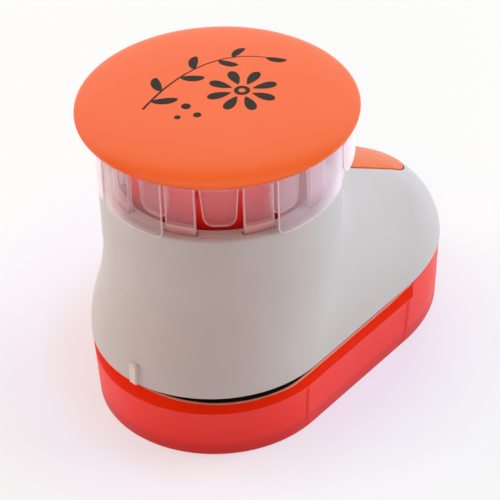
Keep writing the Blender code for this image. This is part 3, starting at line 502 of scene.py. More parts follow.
def translucent_red(name):
    """The chip tray's plastic: red, deeper towards the floor, that lets some light through."""
    made, tree, shader = new_material(name)
    drift = mottled(tree, noise(tree, 45.0, 3.0), (0.94, 0.92, 0.92), (1.0, 1.0, 1.0))
    rise = spread(tree, height(tree, place_in(tree)), 0.0, TRAY_TONES_TOP)
    feed(tree, shader, {
        "Base Color": blend(tree, 1.0, tones(tree, rise, TRAY_TONES), drift, "MULTIPLY"),
        "Roughness": uneven(tree, noise(tree, 120.0, 1.0), 0.40, 0.46),
        "Normal": bump(tree, noise(tree, 900.0), 0.000003, 0.25),
        "Specular IOR Level": 0.40,
    })
    path = add_node(tree, "ShaderNodeLightPath")
    part = reckon(tree, "MULTIPLY", path.outputs["Is Shadow Ray"], TRAY_SHARE)
    veil = add_node(tree, "ShaderNodeBsdfTransparent", {"Color": TRAY_TINT})
    cover_surface(tree, part, shader.outputs["BSDF"], veil.outputs["BSDF"])
    return made


GREY = moulded(
    "warm_grey_plastic", (0.530, 0.515, 0.510), (0.555, 0.540, 0.535),
    rough=(0.40, 0.48), grain=2400.0, depth=0.000006,
)
CORAL = moulded(
    "coral_plastic", (0.92, 0.137, 0.021), (0.93, 0.143, 0.024),
    rough=(0.17, 0.21), depth=0.0000008,
)
ORANGE = moulded(
    "orange_plastic", (0.76, 0.132, 0.016), (0.78, 0.142, 0.020),
    rough=(0.30, 0.38), depth=0.000001, specular=0.22,
)
PLUNGER_RED = moulded(
    "plunger_red", (0.78, 0.012, 0.010), (0.84, 0.016, 0.012),
    rough=(0.34, 0.42), depth=0.000002,
)
JAW_RED = moulded(
    "jaw_red", (0.77, 0.016, 0.0004), (0.81, 0.022, 0.0008),
    rough=(0.45, 0.55), depth=0.000002, specular=0.03,
)
# Paler red on the band lip's rounded edge: a painted highlight
LIP_PAINTED_HIGHLIGHT = moulded(
    "lip_edge_painted_highlight", (0.80, 0.30, 0.22), (0.84, 0.36, 0.27),
    rough=(0.35, 0.45), depth=0.000002,
)
SEAM_RED = moulded(
    "seam_red", (0.72, 0.006, 0.002), (0.78, 0.010, 0.003),
    rough=(0.30, 0.40), depth=0.000002, specular=0.20,
)
TRAY_RED = translucent_red("tray_red")
BLACK = moulded(
    "black_rubber", (0.010, 0.008, 0.010), (0.016, 0.012, 0.015),
    rough=(0.55, 0.65), grain=2200.0, depth=0.000006, specular=0.15,
)
# Clear plastics with painted glare; the skirts also have a painted glow
CLEAR = clear_plastic(
    "clear_plastic", (0.94, 0.64, 0.75), (0.97, 0.68, 0.79),
    haze=(0.15, 0.45), rough=0.08, painted_glare=0.52,
)
CLEAR_SKIRT = clear_plastic(
    "clear_skirt_plastic", (0.92, 0.76, 0.88), (0.95, 0.80, 0.91),
    haze=(0.09, 0.90), rough=0.08, painted_glare=0.11, painted_glow=0.10, turning=(0.37, 0.80),
)
CLEAR_FOOT = clear_plastic(
    "clear_foot_plastic", (0.86, 0.49, 0.50), (0.90, 0.53, 0.54),
    haze=(0.72, 0.90), rough=0.10,
)
# Paler, more opaque clear for the panels' outlines: a painted highlight on their edges
CLEAR_EDGE_HIGHLIGHT = clear_plastic(
    "clear_edge_painted_highlight", (0.97, 0.86, 0.95), (0.99, 0.90, 0.98),
    haze=(0.50, 0.97), rough=0.15, painted_glare=0.20,
)
# The body's grey made paler for the rib: a lit copy, painted light
RIB_LIT_GREY = moulded(
    "rib_lit_grey_painted_light", (0.68, 0.64, 0.60), (0.71, 0.67, 0.63),
    rough=(0.40, 0.48), grain=2400.0, depth=0.000006,
)
INK = moulded(
    "print_ink", (0.030, 0.024, 0.017), (0.038, 0.031, 0.023),
    rough=(0.45, 0.55), grain=1600.0, depth=0.000001, specular=0.12,
)
PLATE_STEEL = metal(
    "plate_steel", (0.50, 0.51, 0.53), (0.60, 0.61, 0.63),
    rough=(0.24, 0.34), stretch=(1.0, 0.06, 1.0),
)
ZINC = metal(
    "zinc_steel", (0.56, 0.56, 0.53), (0.66, 0.66, 0.63),
    rough=(0.30, 0.42), stretch=(0.08, 1.0, 1.0),
)
SPRING_STEEL = metal(
    "spring_steel", (0.42, 0.42, 0.44), (0.52, 0.52, 0.54),
    rough=(0.20, 0.28), stretch=(1.0, 1.0, 0.1),
)

BRIGHT_PARTS = (
    "guide_plate", "die_plate", "ram_plate", "flower_cutter", "sprig_cutter",
    "guide_post_left", "guide_post_right", "pivot_clip",
)
FINISHES = {
    "housing_shell": GREY,
    "rear_cover": ORANGE,
    "stop_ring": BLACK,
    "throat_stop": BLACK,
    "press_button": CORAL,
    "clear_sleeve": CLEAR,
    "button_plunger": PLUNGER_RED,
    "lower_jaw": JAW_RED,
    "chip_tray": TRAY_RED,
    "return_spring_left": SPRING_STEEL,
    "return_spring_right": SPRING_STEEL,
    **dict.fromkeys(BRIGHT_PARTS, PLATE_STEEL),
}

for name, thing in nodes.items():
    thing.data.materials.clear()
    thing.data.materials.append(FINISHES.get(name, ZINC))


# Mesh helpers

def finish_mesh(mesh, material, smooth_angle):
    """One smooth finish. A mesh without materials isn't cleared, because that would reset the
    slots of its faces."""
    if mesh.materials:
        mesh.materials.clear()
    mesh.materials.append(material)
    mesh.shade_smooth()
    mesh.set_sharp_from_angle(angle=radians(smooth_angle))


def add_piece(name, shape, material, body, smooth_angle=40.0):
    mesh = bpy.data.meshes.new(name)
    bmesh.ops.recalc_face_normals(shape, faces=shape.faces)
    shape.to_mesh(mesh)
    shape.free()
    finish_mesh(mesh, material, smooth_angle)
    made = bpy.data.objects.new(name, mesh)
    bpy.context.scene.collection.objects.link(made)
    if body is not None:
        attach(made, body)
    return made


def body_of(node):
    return nodes[node]["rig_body"]


def skin(shape, rings, closed=False):
    """Quads between rings of vertices of equal counts, or triangles to a ring of one."""
    pairs = list(zip(rings, rings[1:]))
    if closed:
        pairs.append((rings[-1], rings[0]))
    for first, last in pairs:
        count = max(len(first), len(last))
        for i in range(count):
            after = (i + 1) % count
            corners = [first[i % len(first)], first[after % len(first)]]
            corners += [last[after % len(last)], last[i % len(last)]]
            unique = list(dict.fromkeys(corners))
            if len(unique) > 2:
                shape.faces.new(unique)


def round_vert(shape, radius, turn, z, x=0.0):
    """A vertex about the neck's axis, or about an upright axis beside it."""
    return shape.verts.new((x + radius * cos(turn), NECK_Y + radius * sin(turn), z))


def turned(shape, profile, sides, closed):
    """Rings of a (radius, height) profile about the neck's axis."""
    turns = [2 * pi * i / sides for i in range(sides)]
    rings = []
    for radius, z in profile:
        around = turns if radius > 0.0 else turns[:1]
        rings.append([round_vert(shape, radius, turn, z) for turn in around])
    skin(shape, rings, closed)


def carved(target, tool):
    """Cuts the tool out of the target for good and removes the tool."""
    step = target.modifiers.new("cut", "BOOLEAN")
    step.object = tool
    step.operation = "DIFFERENCE"
    step.solver = "EXACT"
    graph = bpy.context.evaluated_depsgraph_get()
    mesh = bpy.data.meshes.new_from_object(target.evaluated_get(graph))
    target.modifiers.clear()
    target.data = mesh
    bpy.data.objects.remove(tool, do_unlink=True)


# The body's plan, from the same shapes as the solids

Plan = namedtuple("Plan", "radius shift tail half axis")

# Share of the height, then of each of the plan's values between the neck's and the foot's
LEVEL_SHARES = (
    (0.000, 1.00, 1.00, 1.000, 1.000, 1.000),
    (0.053, 1.00, 0.97, 0.995, 0.960, 0.960),
    (0.118, 0.96, 0.90, 0.974, 0.890, 0.910),
    (0.184, 0.84, 0.78, 0.939, 0.750, 0.770),
    (0.250, 0.68, 0.62, 0.886, 0.540, 0.540),
    (0.294, 0.56, 0.50, 0.837, 0.360, 0.320),
    (0.338, 0.44, 0.38, 0.769, 0.180, 0.140),
    (0.393, 0.36, 0.25, 0.685, 0.070, 0.050),
    (0.458, 0.29, 0.12, 0.569, 0.015, 0.010),
    (0.513, 0.26, 0.00, 0.469, 0.000, 0.000),
    (0.579, 0.26, 0.00, 0.347, 0.000, 0.000),
    (0.645, 0.27, 0.00, 0.226, 0.000, 0.000),
    (0.711, 0.28, 0.00, 0.107, 0.000, 0.000),
    (0.776, 0.29, 0.00, 0.000, 0.000, 0.000),
    (1.000, 0.36, 0.00, 0.000, 0.000, 0.000),
)


def eased(rows, column, x):
    """A table's column at x, on a curve that never overshoots its rows."""
    xs = [row[0] for row in rows]
    ys = [row[column] for row in rows]
    slopes = [(ys[i + 1] - ys[i]) / (xs[i + 1] - xs[i]) for i in range(len(xs) - 1)]
    leans = [slopes[0]]
    for before, after in zip(slopes, slopes[1:]):
        leans.append(0.0 if before * after <= 0 else 2 * before * after / (before + after))
    leans.append(slopes[-1])
    k = max(i for i in range(len(slopes)) if i == 0 or xs[i] <= x)
    wide = xs[k + 1] - xs[k]
    t = (x - xs[k]) / wide
    start = (1 + 2 * t) * (1 - t) ** 2 * ys[k] + t * (1 - t) ** 2 * wide * leans[k]
    return start + t * t * (3 - 2 * t) * ys[k + 1] + t * t * (t - 1) * wide * leans[k + 1]


def plan_at(z):
    up = min(1.0, max(0.0, (z - HOUSING_BOTTOM) / (HOUSING_TOP - HOUSING_BOTTOM)))
    out, forward, back, wide, round_ = (eased(LEVEL_SHARES, column, up) for column in range(1, 6))
    return Plan(
        WAIST_RADIUS + out * (LOBE_RADIUS - WAIST_RADIUS),
        forward * LOBE_SHIFT,
        WAIST_RADIUS + back * (TAIL_REACH - WAIST_RADIUS),
        RIDGE_HALF_WIDTH + wide * (TAIL_HALF_WIDTH - RIDGE_HALF_WIDTH),
        RIDGE_NOSE_AXIS + round_ * (TAIL_AXIS - RIDGE_NOSE_AXIS),
    )


def grown(plan, by):
    return Plan(plan.radius + by, plan.shift, plan.tail + by, plan.half + by, plan.axis + by)


def tangent_turn(plan):
    """The turn of the straight side's outward normal, where it leaves the lobe for the tail."""
    middle = plan.tail - plan.axis + plan.shift
    low, high = -pi / 2, pi / 2
    for _ in range(HALVINGS):
        turn = (low + high) / 2
        reach = middle * sin(turn) + hypot(plan.half * cos(turn), plan.axis * sin(turn))
        if plan.radius > reach:
            low = turn
        else:
            high = turn
    return turn


def plan_reaches(plan, angles):
    """How far a plan reaches from the neck's axis at each angle from the front."""
    turn = tangent_turn(plan)
    middle = plan.tail - plan.axis
    wide = hypot(plan.half * cos(turn), plan.axis * sin(turn))
    first = (plan.radius * cos(turn), plan.radius * sin(turn) - plan.shift)
    last = (plan.half ** 2 * cos(turn) / wide, middle + plan.axis ** 2 * sin(turn) / wide)
    offset = first[0] * cos(turn) + first[1] * sin(turn)
    reaches = []
    for angle in angles:
        across, back = sin(angle), -cos(angle)
        shift = plan.shift * back
        lobe = sqrt(shift ** 2 + plan.radius ** 2 - plan.shift ** 2) - shift
        if plan.tail <= plan.radius - plan.shift or angle <= atan2(first[0], -first[1]):
            reaches.append(lobe)
        elif angle <= atan2(last[0], -last[1]):
            reaches.append(offset / (across * cos(turn) + back * sin(turn)))
        else:
            a = (across / plan.half) ** 2 + (back / plan.axis) ** 2
            b = -2 * back * middle / plan.axis ** 2
            c = (middle / plan.axis) ** 2 - 1
            reaches.append((-b + sqrt(b * b - 4 * a * c)) / (2 * a))
    return reaches


# Angles from the front to the back of a plan's right half, as even spans
HALF_ANGLES = [0.0]
for span in ((0.0, 120.0, 64), (120.0, 165.0, 44), (165.0, 180.0, 28)):
    HALF_ANGLES += [radians(angle) for angle in evenly(*span)[1:]]


def plan_ring(shape, plan, z):
    """A ring of vertices on a plan, anticlockwise from the front."""
    reaches = plan_reaches(plan, HALF_ANGLES)
    right = [(r * sin(a), -r * cos(a)) for r, a in zip(reaches, HALF_ANGLES)]
    left = [(-x, y) for x, y in reversed(right[1:-1])]
    return [shape.verts.new((x, NECK_Y + y, z)) for x, y in right + left]


# Housing

def cover_tool():
    """An upright tool with the cover's outline, a gap wider all round."""
    half = COVER_HALF_WIDTH + COVER_GAP
    middle = COVER_NOSE - COVER_HALF_WIDTH
    front = COVER_FRONT - COVER_GAP
    nose = [(half * cos(t), middle + half * sin(t)) for t in evenly(0.0, pi, COVER_STEPS)]
    loop = [(half, front)] + nose + [(-half, front)]
    shape = bmesh.new()
    rings = [[shape.verts.new((x, NECK_Y + y, z)) for x, y in loop] for z in COVER_WINDOW]
    skin(shape, rings)
    for ring in rings:
        shape.faces.new(ring)
    return add_piece("cover_window", shape, GREY, None)


def make_housing():
    """The grey body as one even skin, with its rim rounded over and its inside open."""
    shape = bmesh.new()
    rings = []
    for turn in evenly(0.0, pi / 2, FOOT_STEPS)[:-1]:
        z = HOUSING_BOTTOM + FOOT_ROUND * (1 - cos(turn))
        rings.append(plan_ring(shape, grown(plan_at(z), -FOOT_ROUND * (1 - sin(turn))), z))
    high = HOUSING_TOP - RIM_ROUND
    for z in evenly(HOUSING_BOTTOM + FOOT_ROUND, high, SKIN_ROWS):
        rings.append(plan_ring(shape, plan_at(z), z))
    for turn in evenly(0.0, pi / 2, RIM_STEPS)[1:]:
        z = high + RIM_ROUND * sin(turn)
        rings.append(plan_ring(shape, grown(plan_at(z), -RIM_ROUND * (1 - cos(turn))), z))
    rings.append(plan_ring(shape, grown(plan_at(HOUSING_TOP), -HOUSING_WALL), HOUSING_TOP))
    for z in evenly(HOUSING_TOP - RIM_CHAMFER, HOUSING_BOTTOM, INSIDE_ROWS):
        rings.append(plan_ring(shape, grown(plan_at(z), -HOUSING_WALL), z))
    skin(shape, rings, closed=True)
    made = add_piece("housing_body", shape, GREY, None)
    carved(made, cover_tool())
    finish_mesh(made.data, GREY, 32.0)
    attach(made, body_of("housing_shell"))
    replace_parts(made, "housing_shell")


def make_collar():
    """The ring inside the rim, slotted for the sleeve's long fingers, as quads round each slot."""
    shape = bmesh.new()
    grids = []
    for z in (HOUSING_TOP - COLLAR_SINK, FINGER_BOTTOM):
        grid = []
        for i in range(FLUTES):
            for mark in COLLAR_MARKS:
                turn = radians(FLUTE_TURN) + 2 * pi * (i + mark) / FLUTES
                grid.append([round_vert(shape, radius, turn, z) for radius in COLLAR_RADII])
        grids.append(grid)
    top, low = grids
    count = len(top)

    def open_at(column):
        return -COLLAR_SLOT_HALF <= COLLAR_MARKS[column % len(COLLAR_MARKS)] < COLLAR_SLOT_HALF

    for i in range(count):
        after = (i + 1) % count
        for k in range(3):
            if k == 1 and open_at(i):
                continue
            shape.faces.new((top[i][k], top[after][k], top[after][k + 1], top[i][k + 1]))
            shape.faces.new((low[i][k + 1], low[after][k + 1], low[after][k], low[i][k]))
        for k in (0, 3, 1, 2) if open_at(i) else (0, 3):
            shape.faces.new((top[i][k], low[i][k], low[after][k], top[after][k]))
        if open_at(i) and not open_at(i - 1):
            shape.faces.new((top[i][1], top[i][2], low[i][2], low[i][1]))
        if open_at(i) and not open_at(after):
            shape.faces.new((top[after][1], top[after][2], low[after][2], low[after][1]))
    add_piece("neck_collar", shape, GREY, body_of("housing_shell"), 32.0)


def make_rib():
    """The alignment rib on the front of the body, rounded over at its edges, in a paler copy of
    the body's grey that is painted light.
    """
    front = LOBE_RADIUS + LOBE_SHIFT
    shape = bmesh.new()
    bmesh.ops.create_cube(shape, size=1.0)
    for vert in shape.verts:
        lean = RIB_LEAN if vert.co.z > 0 else 0.0
        vert.co.x = RIB_X + 2 * RIB_HALF_WIDTH * vert.co.x
        vert.co.y = NECK_Y - front + (RIB_DEPTH if vert.co.y > 0 else -RIB_PROUD + lean)
        vert.co.z = HOUSING_BOTTOM + (RIB_HEIGHT if vert.co.z > 0 else 0.0)
    bmesh.ops.bevel(shape, geom=list(shape.edges), offset=RIB_BEVEL, segments=3, affect="EDGES")
    add_piece("front_rib", shape, RIB_LIT_GREY, body_of("housing_shell"), 60.0)


make_housing()
make_collar()


# Button

def dome_height(radius):
    share = min(1.0, radius / BUTTON_RADIUS)
    return BUTTON_RIM + BUTTON_CROWN * sqrt(1 - share ** BUTTON_FLATNESS)


def make_button():
    reaches = [BUTTON_RADIUS * sin(share * pi / 2) for share in evenly(0.0, 1.0, BUTTON_STEPS)]
    crown = [(reach, dome_height(reach)) for reach in reaches]
    under = [(BUTTON_RADIUS - inwards, BUTTON_RIM - down) for inwards, down in BUTTON_LIP]
    under += [(BUTTON_RADIUS - BUTTON_RECESS, BUTTON_UNDER), (0.0, BUTTON_UNDER)]
    shape = bmesh.new()
    turned(shape, crown + under, BUTTON_SIDES, closed=False)
    made = add_piece("button_cap", shape, CORAL, body_of("press_button"), 50.0)
    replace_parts(made, "press_button")


def on_dome(shape, u, v):
    """A vertex just above the dome, across and away from the camera's side of the neck's axis."""
    turn = radians(PRINT_TURN)
    x = u * cos(turn) - v * sin(turn)
    y = u * sin(turn) + v * cos(turn)
    return shape.verts.new((x, NECK_Y + y, dome_height(hypot(x, y)) + PRINT_LIFT))


def ribbon(shape, left, right):
    """A strip between two edges, with shared ends where the edges meet."""
    rows = []
    for (ul, vl), (ur, vr) in zip(left, right):
        if hypot(ul - ur, vl - vr) < PRINT_MEETING:
            vert = on_dome(shape, ul, vl)
            rows.append((vert, vert))
        else:
            rows.append((on_dome(shape, ul, vl), on_dome(shape, ur, vr)))
    for low, high in zip(rows, rows[1:]):
        unique = list(dict.fromkeys((low[0], high[0], high[1], low[1])))
        if len(unique) > 2:
            shape.faces.new(unique)


def petal(shape, foot, turn, length, width, fullness, bend=0.0):
    """A petal or leaf from its foot: a strip whose width swells and closes, on a bent midline."""
    left, right = [], []
    for t in evenly(0.0, pi, PETAL_STEPS):
        forward = length * (1 - cos(t)) / 2
        half = width / 2 * sin(t) * sin(t / 2) ** fullness
        side = bend * sin(t)
        for edge, sign in ((left, 1), (right, -1)):
            across = side + sign * half
            u = foot[0] + forward * cos(turn) - across * sin(turn)
            v = foot[1] + forward * sin(turn) + across * cos(turn)
            edge.append((u, v))
    ribbon(shape, left, right)


def dot(shape, centre, radius):
    petal(shape, (centre[0] - radius, centre[1]), 0.0, 2 * radius, 2 * radius, 0.0)


def ring_print(shape, centre, inner, outer):
    turns = evenly(0.0, 2 * pi, RING_STEPS)
    left = [(centre[0] + outer * cos(t), centre[1] + outer * sin(t)) for t in turns]
    right = [(centre[0] + inner * cos(t), centre[1] + inner * sin(t)) for t in turns]
    ribbon(shape, left, right)


def stem_point(t):
    """The stem's curve, from its foot at the left to its tip at the far right."""
    weights = ((1 - t) ** 3, 3 * t * (1 - t) ** 2, 3 * t * t * (1 - t), t ** 3)
    return tuple(sum(w * p[k] for w, p in zip(weights, STEM_CURVE)) for k in (0, 1))


def stem_turn(t):
    before, after = stem_point(max(0.0, t - STEM_NEAR)), stem_point(min(1.0, t + STEM_NEAR))
    return atan2(after[1] - before[1], after[0] - before[0])


def make_print():
    """The builder's own floral print: an eight-petal daisy, a leafy stem and three berries."""
    shape = bmesh.new()
    left, right = [], []
    for t in evenly(0.0, 1.0, STEM_STEPS):
        u, v = stem_point(t)
        turn = stem_turn(t)
        half = STEM_HALF_WIDTH * (1 - STEM_THINNING * t)
        left.append((u - half * sin(turn), v + half * cos(turn)))
        right.append((u + half * sin(turn), v - half * cos(turn)))
    ribbon(shape, left, right)
    for t, lean, length, width in STEM_LEAVES:
        bend = LEAF_BEND if lean > 0 else -LEAF_BEND
        petal(shape, stem_point(t), stem_turn(t) + lean, length, width, LEAF_FULLNESS, bend)
    for i in range(DAISY_PETALS):
        turn = 2 * pi * i / DAISY_PETALS + DAISY_TURN
        foot = (DAISY_CENTRE[0] + DAISY_FOOT * cos(turn), DAISY_CENTRE[1] + DAISY_FOOT * sin(turn))
        petal(shape, foot, turn, *PETAL_SIZE, PETAL_FULLNESS)
    ring_print(shape, DAISY_CENTRE, *DAISY_RING)
    for centre, radius in BERRIES:
        dot(shape, centre, radius)
    made = add_piece("button_print", shape, INK, body_of("press_button"), 60.0)
    if made.data.polygons[0].normal.z < 0:
        made.data.flip_normals()


make_button()
make_print()


# Clear sleeve

def panel(shape, centre, half_at, radius, wall, levels, foot=0.0):
    """A thin upright panel round the neck's axis, as wide at each level as half_at says. Its
    outline takes a painted highlight, a paler and more opaque clear, and what lies below the
    foot's height takes a material of its own."""
    skins = []
    for reach in (radius, radius - wall):
        grid = []
        for z in levels:
            half = half_at(z)
            within = half - degrees(OUTLINE / radius)
            spans = [-half] + evenly(-within, within, PANEL_COLUMNS - 2) + [half]
            grid.append([round_vert(shape, reach, radians(centre + span), z) for span in spans])
        skins.append(grid)
    outer, inner = skins
    last = len(levels) - 1
    for j in range(last):
        below = levels[j + 1] <= foot
        for k in range(PANEL_COLUMNS):
            rim = EDGE_HIGHLIGHT_SLOT if k in (0, PANEL_COLUMNS - 1) or j < OUTLINE_ROWS else 0
            corners = (outer[j][k], outer[j][k + 1], outer[j + 1][k + 1], outer[j + 1][k])
            shape.faces.new(corners).material_index = FOOT_SLOT if below else rim
            corners = (inner[j][k + 1], inner[j][k], inner[j + 1][k], inner[j + 1][k + 1])
            shape.faces.new(corners).material_index = FOOT_SLOT if below else 0
    edges = []
    for j in range(last):
        edges.append((inner[j][0], outer[j][0], outer[j + 1][0], inner[j + 1][0]))
        edges.append((outer[j][-1], inner[j][-1], inner[j + 1][-1], outer[j + 1][-1]))
    for k in range(PANEL_COLUMNS):
        edges.append((inner[0][k], inner[0][k + 1], outer[0][k + 1], outer[0][k]))
        edges.append((inner[last][k + 1], inner[last][k], outer[last][k], outer[last][k + 1]))
    for corners in edges:
        shape.faces.new(corners).material_index = EDGE_HIGHLIGHT_SLOT


def rounded_levels(bottom, top, rounding):
    """Heights that are close together over a rounded lower end, and even above it."""
    turns = evenly(0.0, pi / 2, ROUND_ROWS)[:-1]
    low = [bottom + rounding * (1 - cos(turn)) for turn in turns]
    return low + evenly(bottom + rounding, top, EVEN_ROWS)


def rounded_half(half, radius, bottom, rounding):
    """A panel's half width in degrees at a height, drawn in over its rounded lower corners."""
    def at(z):
        deep = max(0.0, rounding - (z - bottom))
        drawn = rounding - sqrt(max(0.0, rounding ** 2 - deep ** 2))
        return half - degrees(drawn / radius)
    return at


def clear_piece(name, shape, material):
    """A piece of the sleeve, with the outline's painted highlight and the feet's material in its
    next slots.
    """
    made = add_piece(name, shape, material, body_of("clear_sleeve"), 30.0)
    made.data.materials.append(CLEAR_EDGE_HIGHLIGHT)
    made.data.materials.append(CLEAR_FOOT)
    return made


def make_fingers():
    """Nine long fingers that run down into the collar's slots."""
    shape = bmesh.new()
    top = WEB_BOTTOM + SLEEVE_LAP
    levels = rounded_levels(FINGER_BOTTOM, top, FINGER_ROUND)[:ROUND_ROWS + 1]
    levels += evenly(FINGER_FOOT, top, FINGER_ROWS)
    half_at = rounded_half(FINGER_HALF, FINGER_RADIUS, FINGER_BOTTOM, FINGER_ROUND)
    for i in range(FLUTES):
        turn = FLUTE_TURN + 360 / FLUTES * i
        panel(shape, turn, half_at, FINGER_RADIUS, SLEEVE_WALL, levels, foot=FINGER_FOOT)
    return clear_piece("sleeve_fingers", shape, CLEAR)


def make_tongues():
    """Nine short tongues between the fingers, narrower towards their rounded ends."""
    shape = bmesh.new()
    levels = rounded_levels(TONGUE_BOTTOM, WEB_BOTTOM + SLEEVE_LAP, TONGUE_ROUND)
    rounded = rounded_half(TONGUE_HALF, TONGUE_RADIUS, TONGUE_BOTTOM, TONGUE_ROUND)
    straight = WEB_BOTTOM - TONGUE_BOTTOM - TONGUE_ROUND

    def half_at(z):
        up = max(0.0, z - TONGUE_BOTTOM - TONGUE_ROUND) / straight
        return rounded(z) + TONGUE_SPREAD * up

    for i in range(FLUTES):
        turn = FLUTE_TURN + 360 / FLUTES * (i + 0.5)
        panel(shape, turn, half_at, TONGUE_RADIUS, SLEEVE_WALL, levels)
    clear_piece("sleeve_tongues", shape, CLEAR)


def make_web():
    """The flat ring under the button that the fingers and tongues hang from."""
    inner = TONGUE_RADIUS - SLEEVE_WALL
    profile = [
        (WEB_RADIUS - WEB_EDGE, SLEEVE_TOP),
        (WEB_RADIUS, SLEEVE_TOP - WEB_EDGE),
        (WEB_RADIUS, WEB_BOTTOM + WEB_EDGE),
        (WEB_RADIUS - WEB_EDGE, WEB_BOTTOM),
        (inner, WEB_BOTTOM),
        (inner, SLEEVE_TOP),
    ]
    shape = bmesh.new()
    turned(shape, profile, WEB_SIDES, closed=True)
    clear_piece("sleeve_web", shape, CLEAR)


def make_skirts():
    """Thin outer panels that slide down over the neck, and one further out at the back right,
    with the part of the ring that carries it."""
    shape = bmesh.new()
    levels = rounded_levels(SKIRT_BOTTOM, WEB_BOTTOM + SKIRT_LAP, SKIRT_ROUND)
    for centre, half in SKIRTS:
        half_at = rounded_half(half, SKIRT_RADIUS, SKIRT_BOTTOM, SKIRT_ROUND)
        panel(shape, centre, half_at, SKIRT_RADIUS, SKIRT_WALL, levels)
    centre, half = LOBE_PANEL
    levels = rounded_levels(LOBE_PANEL_BOTTOM, WEB_BOTTOM + LOBE_PANEL_LAP, LOBE_PANEL_ROUND)
    half_at = rounded_half(half, LOBE_PANEL_RADIUS, LOBE_PANEL_BOTTOM, LOBE_PANEL_ROUND)
    panel(shape, centre, half_at, LOBE_PANEL_RADIUS, SKIRT_WALL, levels)
    width = LOBE_PANEL_RADIUS - WEB_RADIUS + LOBE_PANEL_LAP
    panel(shape, centre, lambda z: half, LOBE_PANEL_RADIUS, width, LOBE_RING)
    clear_piece("sleeve_skirts", shape, CLEAR_SKIRT)


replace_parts(make_fingers(), "clear_sleeve")
make_tongues()
make_web()
make_skirts()
make_rib()


# Chip tray, jaw band and the black sheet of painted shade in the paper slot

def tray_plan(z, inset):
    draft = TRAY_DRAFT * z / TRAY_TOP
    return grown(plan_at(HOUSING_BOTTOM), TRAY_RADIUS - LOBE_RADIUS + draft - inset)


def tray_front_tool(low):
    """A box that takes the tray's wall away in front, where the jaw's band shows."""
    shape = bmesh.new()
    bmesh.ops.create_cube(shape, size=1.0)
    for vert in shape.verts:
        vert.co.x *= 2 * TRAY_CUT_REACH
        vert.co.y = NECK_Y + (BAND_END + TRAY_GAP if vert.co.y > 0 else -TRAY_CUT_REACH)
        vert.co.z = low if vert.co.z < 0 else TRAY_CUT_TOP
    return add_piece("tray_front_tool", shape, TRAY_RED, None)


def make_tray():
    """The red tray, high behind the band and low under it, with a rounded foot and its inside."""
    shape = bmesh.new()
    rings = []

    def add_ring(z, inset):
        rings.append(plan_ring(shape, tray_plan(z, inset), z))

    for turn in evenly(0.0, pi / 2, TRAY_FOOT_STEPS):
        add_ring(TRAY_FOOT * (1 - cos(turn)), TRAY_FOOT * (1 - sin(turn)))
    low = BAND_BOTTOM - TRAY_GAP
    for z in evenly(TRAY_FOOT, low, TRAY_ROWS)[1:]:
        add_ring(z, 0.0)
    add_ring(TRAY_TOP, 0.0)
    add_ring(TRAY_TOP, TRAY_WALL)
    add_ring(low, TRAY_WALL)
    add_ring(TRAY_FLOOR + TRAY_FOOT, TRAY_WALL)
    add_ring(TRAY_FLOOR, TRAY_WALL + TRAY_FOOT)
    skin(shape, rings)
    shape.faces.new(rings[0])
    shape.faces.new(rings[-1])
    made = add_piece("tray_shell", shape, TRAY_RED, None)
    carved(made, tray_front_tool(low))
    finish_mesh(made.data, TRAY_RED, 32.0)
    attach(made, body_of("chip_tray"))
    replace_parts(made, "chip_tray")


def wall_arc(shape, sections, angles, marked=()):
    """A closed bar along the plan; sections gives its (inset, height) corners at each angle, and
    the marked sides take the second material."""
    rows = []
    for angle in angles:
        row = []
        for inset, z in sections(angle):
            reach = plan_reaches(tray_plan(z, inset), [abs(angle)])[0]
            row.append(shape.verts.new((reach * sin(angle), NECK_Y - reach * cos(angle), z)))
        rows.append(row)
    count = len(rows[0])
    for low, high in zip(rows, rows[1:]):
        for k in range(count):
            side = shape.faces.new((low[k], low[(k + 1) % count], high[(k + 1) % count], high[k]))
            side.material_index = 1 if k in marked else 0
    shape.faces.new(rows[0])
    shape.faces.new(rows[-1])


def band_angle(y):
    """The angle from the front at which the band's outside is y behind the neck's axis."""
    plan = tray_plan(BAND_BOTTOM, 0.0)
    low, high = pi / 3, pi
    for _ in range(HALVINGS):
        middle = (low + high) / 2
        if -plan_reaches(plan, [middle])[0] * cos(middle) < y:
            low = middle
        else:
            high = middle
    return low


def make_band():
    """The jaw band's skin and lip: low in the mouth to the right of the rib, close to the body
    elsewhere. The lip's rounded edge is painted paler, as a highlight."""
    end = band_angle(BAND_STOP)
    low = BAND_BOTTOM - BAND_LAP
    root = JAW_TOP - LIP_ROOT

    def sections(angle):
        top = eased(LIP_HEIGHTS, 1, degrees(angle))
        edge = [(inset, top - down) for inset, down in LIP_EDGE]
        inside = [(LIP_WIDTH, top), (LIP_WIDTH, root), (BAND_DEPTH, root), (BAND_DEPTH, low)]
        return [(-BAND_SKIN, low)] + edge + inside

    shape = bmesh.new()
    # The lip's rounded edge (sides 2 and 3) takes the paler red of a painted highlight
    wall_arc(shape, sections, evenly(-end, end, BAND_STEPS), marked=(2, 3))
    made = add_piece("jaw_band", shape, JAW_RED, body_of("lower_jaw"), 50.0)
    made.data.materials.append(LIP_PAINTED_HIGHLIGHT)


def make_slot_painted_shade():
    """A black sheet on the jaw's top, inside the lip: painted shade for the dark inside of the
    paper slot.
    """
    end = band_angle(SHADE_SHEET_STOP)
    low, high = (JAW_TOP + up for up in SHADE_SHEET_HEIGHTS)

    def sections(angle):
        return (LIP_WIDTH, low), (LIP_WIDTH, high), (SHADE_SHEET_REACH, high), (SHADE_SHEET_REACH, low)

    shape = bmesh.new()
    wall_arc(shape, sections, evenly(-end, end, SHADE_SHEET_STEPS))
    add_piece("slot_painted_shade", shape, BLACK, body_of("lower_jaw"))


